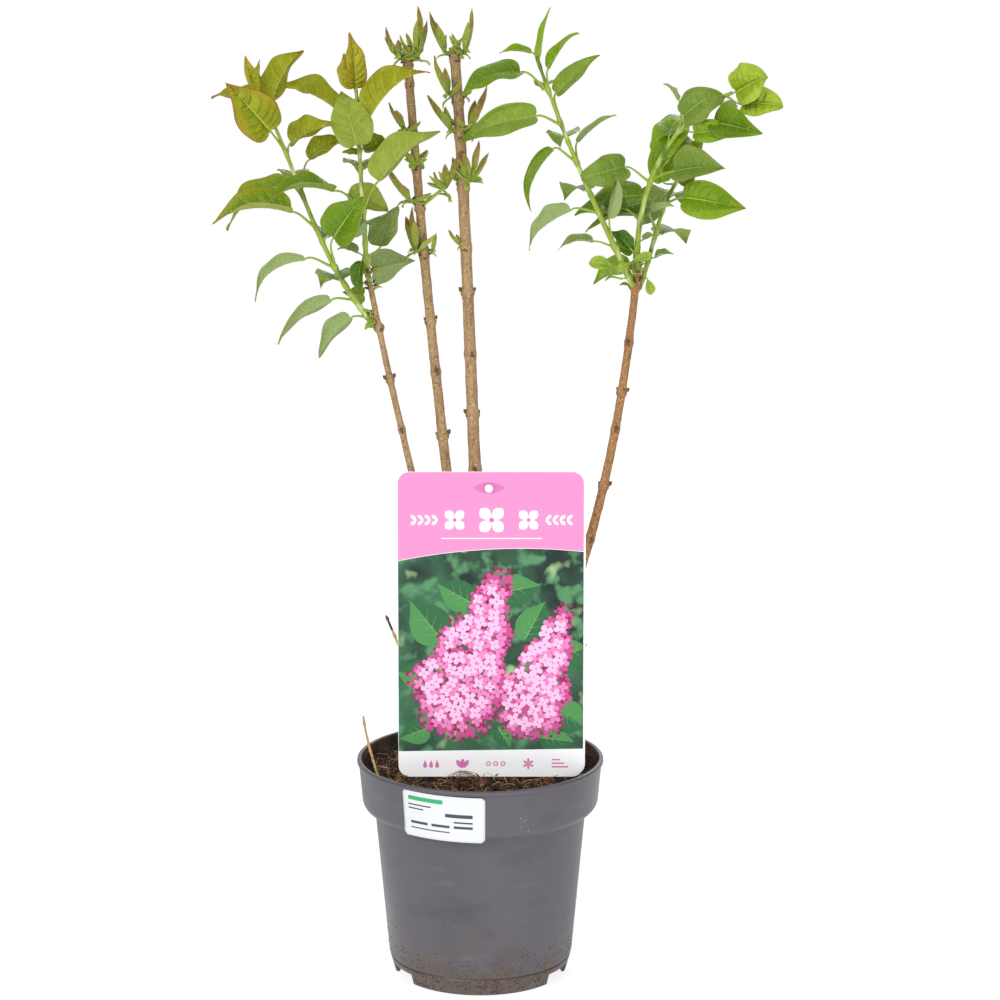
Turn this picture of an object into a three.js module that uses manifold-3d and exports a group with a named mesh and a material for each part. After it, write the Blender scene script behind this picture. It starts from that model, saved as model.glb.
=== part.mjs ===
// A young lilac bush in a round nursery pot, with its plant label.
// Millimetres, +Z up. The origin is the middle of the pot's flat underside;
// the label faces -Y, and +X is on the right of someone who reads it.
// Bearings turn from +X (0) through +Y, the back (90), to -X (180) and -Y, the front (270).
import * as THREE from "three";
import { mergeVertices } from "three/addons/utils/BufferGeometryUtils.js";
import Module from "manifold-3d";

const wasm = await Module();
wasm.setup();

// ---------------------------------------------------------------- driving dimensions

const GAP = 0.3; // clearance between two pieces that touch

// Pot: a deep collar with a rounded lower edge, a tapering body and a foot ring with drain slots.
const POT_HEIGHT = 134.5;
const RIM_RADIUS = 75;
const LIP_DEPTH = 3;
const LIP_REACH = 1.2; // how far the lip stands out of the collar
const COLLAR_TAPER = 2; // how much narrower the collar's foot is than its head
const COLLAR_FOOT = 102.6;
const COLLAR_ROUND = 7;
const BODY_TOP_RADIUS = 64;
const BODY_FOOT_RADIUS = 56;
const BODY_FOOT = 12;
const FOOT_RADIUS = 52;
const FOOT_HEIGHT = 11;
const POT_WALL = 1.6;
const FLOOR_UNDER = 3; // height of the floor's underside round its middle pad
const FLOOR_TOP = 5;
const PAD_RADIUS = 30;
const SLOT_START = 50; // degrees from the front, or from the back, to a drain slot
const SLOT_END = 78;
const SLOT_HEIGHT = 9;
const POT_SIDES = 32;

// Compost: 7 or 8 mm below the rim, a little higher round the main stem, and uneven.
const COMPOST_EDGE = 124.5;
const COMPOST_RISE = 2;
const COMPOST_ROUGHNESS = 0.9;

// Main stem: the short cut-back foot of the bush that the four woody stems grow from.
const MAIN_STEM = { x: 5, y: 5, foot: 100, top: 151, radius: 8.4, flare: 3.2, flareAt: 127 };
const MAIN_SIDES = 9;
const MAIN_STEPS = 9;

// Woody stems: the path's four points, foot and tip radius, heights of the nodes, and how much a node swells.
const STEM_SIDES = 7;
const NODE_SWELL = 0.5;
const NODE_REACH = 3; // half the length of a swollen node along its stem
const STEMS = {
  stem_left: {
    path: [[-1, 3, 140], [-24, 9, 238], [-48, -2, 336], [-66, -10, 434]],
    foot: 2.7,
    tip: 1.6,
    nodes: [182, 213, 244, 275, 306, 337, 368, 399],
    knuckle: 399,
  },
  stem_inner_left: {
    path: [[1, 9, 144], [-19, 4, 284], [-33, 18, 422], [-43, 26, 562]],
    foot: 3.5,
    tip: 2.4,
    nodes: [199, 232, 265, 298, 331, 369, 400, 438, 467, 490, 509, 539, 551],
  },
  stem_inner_right: {
    path: [[10, 10, 144], [-7, 7, 285], [-4, 16, 423], [-15, 22, 561]],
    foot: 4.1,
    tip: 3.0,
    nodes: [208, 242, 276, 310, 344, 380, 417, 443, 479, 509, 530, 554],
  },
  stem_right: {
    path: [[12, 2, 141], [66, 0, 230], [84, 4, 332], [93, 6, 431]],
    foot: 3.2,
    tip: 2.2,
    nodes: [175, 203, 235, 269, 302, 336, 359, 388, 422],
    knuckle: 422,
  },
};
const KNUCKLE_SWELL = 1.7; // the old node that this year's shoots spring from

// Thin twigs: two weak stems from the foot of the bush and a dry twig stuck in the compost.
const TWIG_SIDES = 5;
const TWIG_STEPS = 8;
const TWIGS = {
  weak_stem_left: {
    path: [[-16, 12, 112], [-34, 12, 160], [-47, 8, 196], [-56, 5, 219]],
    foot: 1.1,
    tip: 0.7,
  },
  weak_stem_right: {
    path: [[26, 10, 112], [40, 12, 145], [54, 10, 178], [64, 6, 203]],
    foot: 1.0,
    tip: 0.7,
  },
  dry_twig: {
    path: [[-56, -30, 112], [-60, -28, 128], [-68, -25, 148], [-70, -22, 166]],
    foot: 0.9,
    tip: 0.6,
  },
};

// Leafy shoots: the path's four points, foot and tip radius, and one row for each leaf. A row gives the
// way up the shoot; the stalk's length, bearing and rise; and the blade's length, width, bearing, rise,
// roll about its midrib and bow.
const SHOOT_SIDES = 6;
const SHOOT_STEPS = 9;
const SHOOTS = {
  shoot_left_outer: {
    path: [[-61, -6, 399], [-97, -18, 443], [-104, -28, 497], [-127, -38, 542]],
    foot: 1.7,
    tip: 0.8,
    leaves: [
      [4, 2, 60, 40, 10, 5, 40, 80, 0, 0.05],
      [9, 11, 213, 0, 30, 17, 200, -48, 60, 0.15],
      [16, 10, 77, 36, 16, 10, 139, 0, 100, 0.05],
      [22, 17, 217, 3, 40, 20, 190, -45, 48, 0.2],
      [32, 16, 100, 5, 40, 22, 110, -12, 0, 0.1],
      [45, 21, 211, 17, 38, 20, 196, -36, 42, 0.18],
      [45, 23, 270, 56, 30, 25, 345, 52, 75, 0.05],
      [62, 16, 80, 5, 38, 22, 75, -12, 0, 0.1],
      [72, 18, 203, 33, 44, 26, 191, -7, -25, 0.14],
      [92, 18, 126, 16, 41, 24, 161, -26, -35, 0.12],
      [95, 21, 65, 58, 26, 15, 26, 22, 30, 0.12],
      [104, 12, 95, 0, 32, 19, 100, -12, 0, 0.1],
      [118, 8, 43, 69, 29, 16, 17, 19, -60, 0.12],
      [122, 16, 227, 46, 40, 29, 215, 46, -100, 0.04],
      [148, 6, 123, 40, 31, 16, 169, 5, -25, 0.1],
      [148, 7, 49, 55, 33, 20, 13, 58, -60, 0.08],
      [160, 1, 180, 60, 21, 7, 158, 66, -60, 0.05],
      [160, 1, 0, 60, 18, 6, 286, 77, 20, 0.05],
    ],
  },
  shoot_left_upright: {
    path: [[-66, -10, 434], [-68, -11, 470], [-70, -13, 505], [-71, -14, 540]],
    foot: 1.5,
    tip: 0.8,
    leaves: [
      [5, 13, 71, -30, 32, 21, 45, 2, -95, 0.08],
      [5, 7, 248, 7, 20, 10, 254, -78, 20, 0.1],
      [7, 12, 36, 30, 28, 20, 58, 52, 0, 0.1],
      [7, 6, 180, 32, 14, 8, 154, 6, -25, 0.1],
      [15, 15, 265, 67, 13, 9, 195, -47, 100, 0.05],
      [23, 16, 100, 5, 38, 22, 75, -12, 0, 0.1],
      [34, 15, 140, 40, 27, 17, 15, -25, 60, 0.12],
      [35, 23, 314, 53, 48, 26, 344, 41, -32, 0.08],
      [35, 30, 232, 28, 40, 23, 204, -4, -22, 0.12],
      [58, 16, 90, 5, 36, 21, 95, -12, 0, 0.1],
      [69, 2, 117, 0, 10, 5, 162, 0, -40, 0.05],
      [71, 3, 38, 0, 16, 9, 16, 16, 70, 0.1],
      [71, 11, 265, 19, 34, 22, 253, 60, 0, 0.06],
      [77, 5, 10, 25, 13, 3, 5, -15, 0, 0.1],
      [83, 16, 160, 40, 42, 24, 171, 22, 40, 0.12],
      [83, 14, 314, 39, 43, 24, 350, 39, -30, 0.12],
      [88, 10, 95, 5, 28, 17, 90, -12, 0, 0.1],
      [99, 8, 180, 85, 32, 18, 125, 78, 0, 0.05],
      [99, 9, 110, 56, 22, 12, 127, 62, -60, 0.05],
    ],
  },
  shoot_right_left: {
    path: [[91, 4, 422], [68, -4, 469], [48, -13, 514], [33, -22, 559]],
    foot: 1.8,
    tip: 0.8,
    leaves: [
      [6, 5, 215, 0, 11, 4, 202, 6, -10, 0.05],
      [9, 11, 78, 26, 28, 16, 151, -28, 50, 0.1],
      [11, 4, 100, 40, 8, 4, 90, 20, 20, 0.05],
      [12, 8, 228, 7, 18, 9, 209, 20, -60, 0.05],
      [26, 22, 233, 70, 27, 13, 5, 83, -35, 0.05],
      [27, 15, 205, 16, 22, 10, 196, -7, -18, 0.12],
      [50, 18, 200, 19, 34, 17, 194, -38, 48, 0.18],
      [62, 14, 105, 5, 34, 20, 110, -12, 0, 0.1],
      [83, 13, 81, 72, 30, 14, 25, 32, -45, 0.1],
      [84, 17, 203, 27, 38, 18, 195, -65, -10, 0.12],
      [97, 12, 95, 5, 34, 20, 95, -12, 0, 0.1],
      [108, 18, 208, 19, 48, 26, 190, -14, 62, 0.1],
      [111, 16, 132, 80, 34, 20, 12, 34, -48, 0.08],
      [129, 21, 200, 34, 40, 22, 193, -20, -28, 0.14],
      [130, 13, 270, 81, 27, 14, 339, 50, 38, 0.08],
      [132, 8, 90, 5, 24, 13, 95, -12, 0, 0.1],
      [145, 10, 202, 57, 19, 9, 199, 10, -25, 0.15],
      [149, 1, 0, 60, 30, 9, 28, 74, 0, 0.04],
    ],
  },
  shoot_right_middle: {
    path: [[93, 6, 431], [91, 2, 474], [106, -2, 520], [147, -6, 537]],
    foot: 1.7,
    tip: 0.8,
    leaves: [
      [5, 5, 236, 7, 11, 5, 215, -15, -50, 0.05],
      [5, 4, 312, 6, 10, 5, 302, 38, 85, 0.05],
      [5, 6, 230, 10, 13, 6, 340, 22, 60, 0.08],
      [9, 7, 217, 43, 17, 10, 153, 37, -40, 0.1],
      [9, 7, 111, 9, 15, 9, 139, 26, -50, 0.1],
      [14, 9, 296, 40, 10, 5, 323, 18, 60, 0.08],
      [30, 14, 129, 24, 20, 13, 144, 6, -60, 0.08],
      [54, 19, 201, 31, 29, 19, 215, -7, -75, 0.1],
      [56, 20, 313, 18, 32, 21, 340, 11, 75, 0.08],
      [66, 13, 78, 19, 32, 20, 53, 52, 20, 0.06],
      [77, 12, 80, 30, 26, 15, 80, 8, 0, 0.1],
      [89, 11, 287, 57, 27, 24, 330, 32, 80, 0.05],
      [90, 18, 100, 70, 13, 5, 150, 47, 50, 0.05],
      [94, 19, 328, 6, 30, 26, 335, -8, 78, 0.06],
      [107, 12, 60, 5, 30, 18, 55, -12, 0, 0.1],
      [123, 14, 333, -16, 27, 18, 332, 2, 72, 0.08],
      [127, 4, 297, 15, 30, 24, 312, 19, 85, 0.04],
    ],
  },
  shoot_right_back: {
    path: [[95, 7, 422], [104, 17, 445], [106, 26, 466], [119, 34, 483]],
    foot: 1.4,
    tip: 0.9,
    leaves: [
      [5, 3, 321, 4, 10, 6, 299, -57, 25, 0.1],
      [16, 5, 331, 29, 12, 6, 340, 14, 30, 0.1],
      [30, 14, 70, 5, 36, 21, 60, -12, 0, 0.1],
      [35, 12, 134, 47, 38, 20, 177, -13, -12, 0.1],
      [36, 15, 246, 53, 15, 7, 335, 17, -40, 0.05],
      [48, 17, 148, 29, 42, 24, 171, -16, -40, 0.1],
      [53, 13, 329, 19, 38, 23, 343, -5, 75, 0.06],
      [55, 12, 75, 5, 34, 20, 75, -12, 0, 0.1],
      [60, 11, 116, 0, 30, 20, 135, -50, -100, 0.06],
      [66, 8, 200, 14, 24, 14, 130, 65, -35, 0.05],
      [69, 4, 234, 47, 32, 24, 312, 47, 110, 0.05],
    ],
  },
};

// Opening bud clusters: the node's height, bearing, rise, longest leaf, number of leaves, fan and the
// length of the spur that they stand on.
const BUD_SHARES = [0, 0.3, 0.65, 1];
const SPUR_RADIUS = 1.1;
const BUD_SEED = 7;
const BUDS = {
  inner_left: {
    stem: "stem_inner_left",
    rows: [
      [438, 200, 84, 28, 5, 60, 4],
      [438, 0, 76, 13, 4, 50, 3],
      [467, 185, 52, 26, 7, 50, 5],
      [467, 345, 66, 27, 7, 45, 18],
      [490, 275, 68, 14, 5, 60, 4],
      [490, 95, 60, 14, 5, 60, 4],
      [509, 185, 58, 20, 6, 50, 4],
      [551, 195, 62, 22, 7, 50, 4],
      [551, 340, 84, 32, 6, 45, 4],
    ],
  },
  inner_right: {
    stem: "stem_inner_right",
    rows: [
      [443, 180, 50, 11, 4, 50, 3],
      [479, 320, 72, 28, 7, 45, 5],
      [479, 120, 60, 16, 5, 60, 4],
      [509, 180, 54, 28, 6, 50, 4],
      [509, 10, 66, 30, 6, 50, 4],
      [530, 180, 66, 27, 6, 45, 4],
      [530, 0, 50, 12, 4, 70, 3],
      [554, 175, 66, 29, 6, 45, 4],
      [554, 350, 78, 28, 6, 45, 4],
    ],
  },
};

// Leaf blade: widest a third of the way up and drawn out to a point, its halves folded up from the midrib.
const BLADE_BASE = 0.45;
const BLADE_POINT = 0.8;
const BLADE_FOLD = 0.32;
const BLADE_SHARES = [0.12, 0.36, 0.7, 1];
const BLADE_THICKNESS = 0.024; // at the midrib, for each millimetre of length
const STALK_RADIUS = 0.75;

// Plant label: a stiff card that stands just over the compost, leaning back, and a flat peg behind it
// whose round head goes through the card's hole.
const LABEL = { width: 112, height: 185, thick: 0.6, corner: 7, x: 7, y: -25, foot: 129, lean: 4 };
const PEG = { x: -1.5, head: 175, width: 6, thick: 1.6, foot: -52, point: 8 };
const PEG_HEAD = { hole: 1.9, shank: 1.5, button: 2.6, depth: 1.4 };

// ---------------------------------------------------------------- solids and geometries

// A closed geometry as a manifold solid.
function solidOf(geometry) {
  const bare = geometry.clone();
  bare.deleteAttribute("normal");
  bare.deleteAttribute("uv");
  const merged = mergeVertices(bare, 1e-4);
  const mesh = new wasm.Mesh({
    numProp: 3,
    vertProperties: merged.attributes.position.array,
    triVerts: new Uint32Array(merged.index.array),
  });
  return new wasm.Manifold(mesh);
}

// A manifold solid as a geometry for a mesh.
function geometryOf(solid) {
  const mesh = solid.getMesh();
  const geometry = new THREE.BufferGeometry();
  geometry.setAttribute("position", new THREE.BufferAttribute(mesh.vertProperties, 3));
  geometry.setIndex(new THREE.BufferAttribute(mesh.triVerts, 1));
  geometry.computeVertexNormals();
  return geometry;
}

// Only the largest body of a solid: a scrap that a cut leaves loose is dropped.
function largestBody(solid) {
  return solid.decompose().reduce((most, body) => (body.volume() > most.volume() ? body : most));
}

const join = (solids) => wasm.Manifold.union(solids);
const meet = (one, other) => !one.intersect(other).isEmpty();
const radians = THREE.MathUtils.degToRad;
const vector = (point) => new THREE.Vector3(...point);

// The unit vector at a bearing and a rise, both in degrees.
function heading(bearing, rise) {
  const across = Math.cos(radians(rise));
  return new THREE.Vector3(
    across * Math.cos(radians(bearing)),
    across * Math.sin(radians(bearing)),
    Math.sin(radians(rise)),
  );
}

// A repeatable source of numbers from 0 to 1.
function seeded(seed) {
  let state = seed;
  return () => {
    state = (state * 1103515245 + 12345) % 2147483648;
    return state / 2147483648;
  };
}

// A solid turned from a profile of [radius, height] points about the Z axis.
function turned(profile, sides) {
  const points = profile.map(([radius, height]) => new THREE.Vector2(radius, height));
  return new THREE.LatheGeometry(points, sides).rotateX(Math.PI / 2);
}

// A round bar along a curve: a cylinder whose rings are set at the stops, with a radius for each.
// Grown by some millimetres, it is the space that the bar keeps clear round itself.
function bar(curve, radiusAt, sides, stops, grow = 0) {
  const steps = stops.length - 1;
  const geometry = new THREE.CylinderGeometry(1, 1, 1, sides, steps);
  const place = geometry.attributes.position;
  const start = curve.getTangentAt(0);
  const reference = Math.abs(start.z) > 0.7 ? new THREE.Vector3(1, 0, 0) : new THREE.Vector3(0, 0, 1);
  for (let i = 0; i < place.count; i += 1) {
    const ring = Math.round((place.getY(i) + 0.5) * steps);
    const along = stops[ring];
    const tangent = curve.getTangentAt(along);
    const sideways = reference.clone().addScaledVector(tangent, -reference.dot(tangent)).normalize();
    const other = sideways.clone().cross(tangent);
    const radius = radiusAt(along) + grow;
    const point = curve.getPointAt(along);
    point.addScaledVector(tangent, ring === 0 ? -grow : ring === steps ? grow : 0);
    point.addScaledVector(sideways, place.getX(i) * radius);
    point.addScaledVector(other, place.getZ(i) * radius);
    place.setXYZ(i, point.x, point.y, point.z);
  }
  return solidOf(geometry);
}

const evenStops = (steps) => Array.from({ length: steps + 1 }, (_, i) => i / steps);
const limbCurve = (path) => new THREE.CubicBezierCurve3(...path.map(vector));

// How far along a rising curve, from 0 to 1, it reaches a height.
function shareAtHeight(curve, height) {
  let low = 0;
  let high = 1;
  for (let i = 0; i < 24; i += 1) {
    const middle = (low + high) / 2;
    if (curve.getPointAt(middle).z < height) low = middle;
    else high = middle;
  }
  return (low + high) / 2;
}

// ---------------------------------------------------------------- pot and compost

// The pot's wall from the collar's rounded foot up to the lip, set in by some millimetres.
function collarProfile(inset) {
  const headRadius = RIM_RADIUS - LIP_REACH;
  const footRadius = headRadius - COLLAR_TAPER;
  const centre = footRadius - COLLAR_ROUND;
  const profile = [];
  for (const degrees of [-75, -30]) {
    const reach = COLLAR_ROUND - inset;
    profile.push([
      centre + reach * Math.cos(radians(degrees)),
      COLLAR_FOOT + COLLAR_ROUND + reach * Math.sin(radians(degrees)),
    ]);
  }
  profile.push([headRadius - inset, POT_HEIGHT - LIP_DEPTH]);
  return profile;
}

function pot() {
  const outside = [
    [0, 0],
    [PAD_RADIUS, 0],
    [PAD_RADIUS + 2, FLOOR_UNDER],
    [FOOT_RADIUS - 4, FLOOR_UNDER],
    [FOOT_RADIUS - 3.4, 0],
    [FOOT_RADIUS, 0],
    [FOOT_RADIUS, FOOT_HEIGHT],
    [BODY_FOOT_RADIUS, BODY_FOOT],
    [BODY_TOP_RADIUS, COLLAR_FOOT - 2],
    ...collarProfile(0),
    [RIM_RADIUS, POT_HEIGHT - LIP_DEPTH],
    [RIM_RADIUS, POT_HEIGHT - 0.8],
    [RIM_RADIUS - 0.8, POT_HEIGHT],
  ];
  const inside = [
    [RIM_RADIUS - LIP_REACH - POT_WALL, POT_HEIGHT],
    ...collarProfile(POT_WALL).reverse().slice(0, 2),
    [BODY_TOP_RADIUS - POT_WALL, COLLAR_FOOT - 1],
    [BODY_FOOT_RADIUS - POT_WALL, BODY_FOOT + 1.5],
    [FOOT_RADIUS - POT_WALL, FOOT_HEIGHT],
    [FOOT_RADIUS - POT_WALL, FLOOR_TOP],
    [0, FLOOR_TOP],
  ];
  const shell = solidOf(turned([...outside, ...inside], POT_SIDES));
  return [0, 180].reduce((solid, turn) => {
    const right = drainSlot(turn - 90 + SLOT_START, turn - 90 + SLOT_END);
    const left = drainSlot(turn - 90 - SLOT_END, turn - 90 - SLOT_START);
    return solid.subtract(right).subtract(left);
  }, shell);
}

// The space of a drain slot through the corner of the foot ring, between two bearings.
function drainSlot(from, to) {
  const outline = new THREE.Shape();
  outline.absarc(0, 0, BODY_FOOT_RADIUS + 4, radians(from), radians(to), false);
  outline.absarc(0, 0, FOOT_RADIUS - 6, radians(to), radians(from), true);
  const size = { depth: SLOT_HEIGHT + 1, bevelEnabled: false, curveSegments: 4 };
  return solidOf(new THREE.ExtrudeGeometry(outline, size).translate(0, 0, -1));
}

// The compost's unevenness at a place, from -1 to 1.
const lumps = (x, y) =>
  0.6 * Math.sin(x * 0.23 + 1.1) * Math.cos(y * 0.19 - 0.4) + 0.4 * Math.sin(x * 0.11 - y * 0.31);

function compost(sockets) {
  const wall = POT_WALL + GAP;
  const top = [1, 0.84, 0.64, 0.44, 0.24].map((share) => {
    const radius = share * (RIM_RADIUS - LIP_REACH - wall - 0.8);
    return [radius, COMPOST_EDGE + COMPOST_RISE * (1 - share)];
  });
  const profile = [
    [0, FLOOR_TOP + GAP],
    [FOOT_RADIUS - wall, FLOOR_TOP + GAP],
    [FOOT_RADIUS - wall, FOOT_HEIGHT],
    [BODY_FOOT_RADIUS - wall, BODY_FOOT + 1.8],
    [BODY_TOP_RADIUS - wall, COLLAR_FOOT - 1],
    ...collarProfile(wall).slice(1, 2),
    ...top,
    [0, COMPOST_EDGE + COMPOST_RISE],
  ];
  const geometry = turned(profile, POT_SIDES);
  const place = geometry.attributes.position;
  for (let i = 0; i < place.count; i += 1) {
    const [x, y, z] = [place.getX(i), place.getY(i), place.getZ(i)];
    if (z > COMPOST_EDGE - 0.01) place.setZ(i, z + COMPOST_ROUGHNESS * lumps(x, y));
  }
  return sockets.reduce((solid, socket) => solid.subtract(socket), solidOf(geometry));
}

// ---------------------------------------------------------------- woody stems and twigs

const mainCurve = new THREE.LineCurve3(
  new THREE.Vector3(MAIN_STEM.x, MAIN_STEM.y, MAIN_STEM.foot),
  new THREE.Vector3(MAIN_STEM.x, MAIN_STEM.y, MAIN_STEM.top),
);

// The main stem flares where it enters the compost and is rounded off at its top.
function mainRadius(along) {
  const height = MAIN_STEM.foot + along * (MAIN_STEM.top - MAIN_STEM.foot);
  const flare = MAIN_STEM.flare * Math.exp(-(((height - MAIN_STEM.flareAt) / 6) ** 2));
  const fromTop = MAIN_STEM.top - height;
  const rounded = fromTop < 4 ? Math.sqrt(1 - ((4 - fromTop) / 5) ** 2) : 1;
  return (MAIN_STEM.radius + flare) * rounded;
}

const mainStem = (grow) => bar(mainCurve, mainRadius, MAIN_SIDES, evenStops(MAIN_STEPS), grow);

// A woody stem's curve, its radius along it with its swollen nodes, and the stops of its rings.
function stemShape({ path, foot, tip, nodes, knuckle }) {
  const curve = limbCurve(path);
  const length = curve.getLength();
  const marks = nodes.map((height) => ({
    along: shareAtHeight(curve, height),
    swell: height === knuckle ? KNUCKLE_SWELL : NODE_SWELL,
  }));
  const radiusAt = (along) =>
    marks.reduce(
      (radius, mark) => radius + mark.swell * Math.exp(-((((along - mark.along) * length) / 2.4) ** 2)),
      THREE.MathUtils.lerp(foot, tip, along),
    );
  const reach = NODE_REACH / length;
  const rings = marks.flatMap((mark) => [mark.along - reach, mark.along, mark.along + reach]);
  const stops = [0, ...rings.filter((along) => along < 1), 1];
  return { curve, radiusAt, stops };
}

// ---------------------------------------------------------------- leaves

// Half the width of a leaf blade, as a share of its greatest, some way up it.
const WIDEST = BLADE_BASE / (BLADE_BASE + BLADE_POINT);
const outline = (along) => along ** BLADE_BASE * (1 - along) ** BLADE_POINT;
const bladeShare = (along) => outline(along) / outline(WIDEST);

// A four-sided spindle through rings of a point, a side, an up, half a width, half a thickness and the lift
// of its folded edges. Its first and last rings are points.
function spindle(rings) {
  const last = rings.length - 1;
  const geometry = new THREE.SphereGeometry(1, 4, last);
  const place = geometry.attributes.position;
  for (let i = 0; i < place.count; i += 1) {
    const ring = Math.round((1 - geometry.attributes.uv.getY(i)) * last);
    const middle = ring > 0 && ring < last;
    const across = middle ? Math.round(place.getX(i) / Math.sin((ring / last) * Math.PI)) : 0;
    const above = middle ? Math.round(place.getZ(i) / Math.sin((ring / last) * Math.PI)) : 0;
    const { point, side, up, half, thick, lift } = rings[ring];
    const corner = point.clone().addScaledVector(side, across * half);
    corner.addScaledVector(up, above * thick + Math.abs(across) * lift);
    place.setXYZ(i, corner.x, corner.y, corner.z);
  }
  return solidOf(geometry);
}

// The rings of a leaf blade from its base: flattened to the outline, folded along its midrib and bowed.
function bladeRings(base, { length, width, bearing, rise, roll, bow }, shares) {
  const ahead = heading(bearing, rise);
  const level = heading(bearing + 90, 0);
  const side = level.clone().applyAxisAngle(ahead, radians(roll));
  const up = ahead.clone().cross(level).applyAxisAngle(ahead, radians(roll));
  return shares.map((along) => {
    const half = (bladeShare(along) * width) / 2;
    const point = base.clone().addScaledVector(ahead, along * length);
    point.addScaledVector(up, bow * length * 4 * along * (1 - along));
    const thick = (length * BLADE_THICKNESS * (1.2 - along)) / 2 + 0.1;
    return { point, side, up, half, thick, lift: half * BLADE_FOLD };
  });
}

// One leaf: a stalk from the shoot's middle, and the blade that it widens into.
function leaf(root, [stalk, stalkBearing, stalkRise, length, width, bearing, rise, roll, bow]) {
  const ahead = heading(stalkBearing, stalkRise);
  const base = root.clone().addScaledVector(ahead, stalk);
  const rings = bladeRings(base, { length, width, bearing, rise, roll, bow }, BLADE_SHARES);
  const { side } = rings[0];
  const level = side.clone().addScaledVector(ahead, -side.dot(ahead)).normalize();
  const up = ahead.clone().cross(level);
  const stalkRing = (way) => ({
    point: root.clone().addScaledVector(ahead, way),
    side: level,
    up,
    half: STALK_RADIUS,
    thick: STALK_RADIUS,
    lift: 0,
  });
  return spindle([stalkRing(0), stalkRing(Math.min(1, stalk / 3)), stalkRing(stalk), ...rings]);
}

// A shoot's curve and the bar of its stem, or the space that others keep clear of when it is grown.
function shootStem({ path, foot, tip }, grow = 0) {
  const curve = limbCurve(path);
  const radiusAt = (along) => THREE.MathUtils.lerp(foot, tip, along);
  return { curve, solid: bar(curve, radiusAt, SHOOT_SIDES, evenStops(SHOOT_STEPS), grow) };
}

// A leafy shoot: its stem, with every leaf that is clear of the other limbs, the other shoots' stems and
// the masses made before it.
function shoot(rule, limbs, otherStems, masses) {
  const { curve, solid: stem } = shootStem(rule);
  const length = curve.getLength();
  const others = [...limbs.filter((limb) => !meet(limb, stem)), ...otherStems, ...masses];
  const pieces = rule.leaves
    .map(([way, ...row]) => leaf(curve.getPointAt(Math.min(way / length, 0.99)), row))
    .filter((piece) => !others.some((other) => meet(piece, other)));
  return clearOf(join([stem, ...pieces]), limbs);
}

// A cluster of small leaves that open from a bud: a spur with the leading leaf, and pairs that open round it.
function budCluster(root, [, bearing, rise, longest, count, fan, spur], random, masses) {
  const tip = root.clone().addScaledVector(heading(bearing, Math.min(rise, 45)), spur + 3);
  const stem = bar(new THREE.LineCurve3(root, tip), () => SPUR_RADIUS, TWIG_SIDES, [0, 1]);
  const leaves = Array.from({ length: count }, (_, i) => {
    const side = i % 2 === 0 ? -1 : 1;
    const order = Math.ceil(i / 2);
    const length = longest * (1 - 0.2 * order + 0.1 * random());
    const size = {
      length,
      width: length * 0.3 + 1,
      bearing: bearing + side * order * (60 + 20 * random()),
      rise: rise - order * fan * 0.4,
      roll: (random() - 0.5) * 60,
      bow: -0.06,
    };
    const start = tip.clone().addScaledVector(heading(bearing, rise), -0.8);
    return spindle(bladeRings(start, size, BUD_SHARES));
  }).filter((solid) => !masses.some((mass) => meet(solid, mass)));
  return join([stem, ...leaves]);
}

// A solid cut 0.3 mm clear of the limbs, whose space is given with that gap round them.
function clearOf(solid, limbs) {
  return largestBody(wasm.Manifold.difference([solid, ...limbs.filter((limb) => meet(solid, limb))]));
}

// ---------------------------------------------------------------- label

// A flat outline in the label's own frame, as a plate of a thickness from a depth backwards.
function plate(shape, front, thick) {
  const geometry = new THREE.ExtrudeGeometry(shape, { depth: thick, bevelEnabled: false, curveSegments: 3 });
  return solidOf(geometry.rotateX(Math.PI / 2).translate(0, front + thick, 0));
}

// A round piece along the label's depth, from a profile of [radius, depth] points.
function button(profile, x, z) {
  const points = profile.map(([radius, depth]) => new THREE.Vector2(radius, depth));
  return solidOf(new THREE.LatheGeometry(points, 8).translate(x, 0, z));
}

function labelCard() {
  const [half, top, corner] = [LABEL.width / 2, LABEL.height, LABEL.corner];
  const shape = new THREE.Shape();
  shape.absarc(half - corner, corner, corner, -Math.PI / 2, 0, false);
  shape.absarc(half - corner, top - corner, corner, 0, Math.PI / 2, false);
  shape.absarc(-half + corner, top - corner, corner, Math.PI / 2, Math.PI, false);
  shape.absarc(-half + corner, corner, corner, Math.PI, Math.PI * 1.5, false);
  shape.closePath();
  const reach = LABEL.thick * 2;
  const bore = [[0, -reach], [PEG_HEAD.hole, -reach], [PEG_HEAD.hole, reach], [0, reach]];
  const hole = button(bore, PEG.x, PEG.head);
  return plate(shape, -LABEL.thick / 2, LABEL.thick).subtract(hole);
}

// The peg's flat shaft stands behind the card, and its shank goes through the card to a round head.
function labelPeg() {
  const half = PEG.width / 2;
  const shape = new THREE.Shape();
  shape.moveTo(PEG.x, PEG.foot - PEG.point);
  shape.lineTo(PEG.x + half, PEG.foot);
  shape.lineTo(PEG.x + half, PEG.head + half);
  shape.lineTo(PEG.x - half, PEG.head + half);
  shape.lineTo(PEG.x - half, PEG.foot);
  shape.closePath();
  const front = LABEL.thick / 2 + GAP;
  const shaft = plate(shape, front, PEG.thick);
  const { shank, button: headRadius, depth } = PEG_HEAD;
  const head = [
    [0, -front - depth],
    [headRadius * 0.7, -front - depth * 0.8],
    [headRadius, -front - depth * 0.3],
    [headRadius, -front],
    [shank, -front],
    [shank, front + PEG.thick / 2],
    [0, front + PEG.thick / 2],
  ];
  return shaft.add(button(head, PEG.x, PEG.head));
}

// ---------------------------------------------------------------- materials

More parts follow.
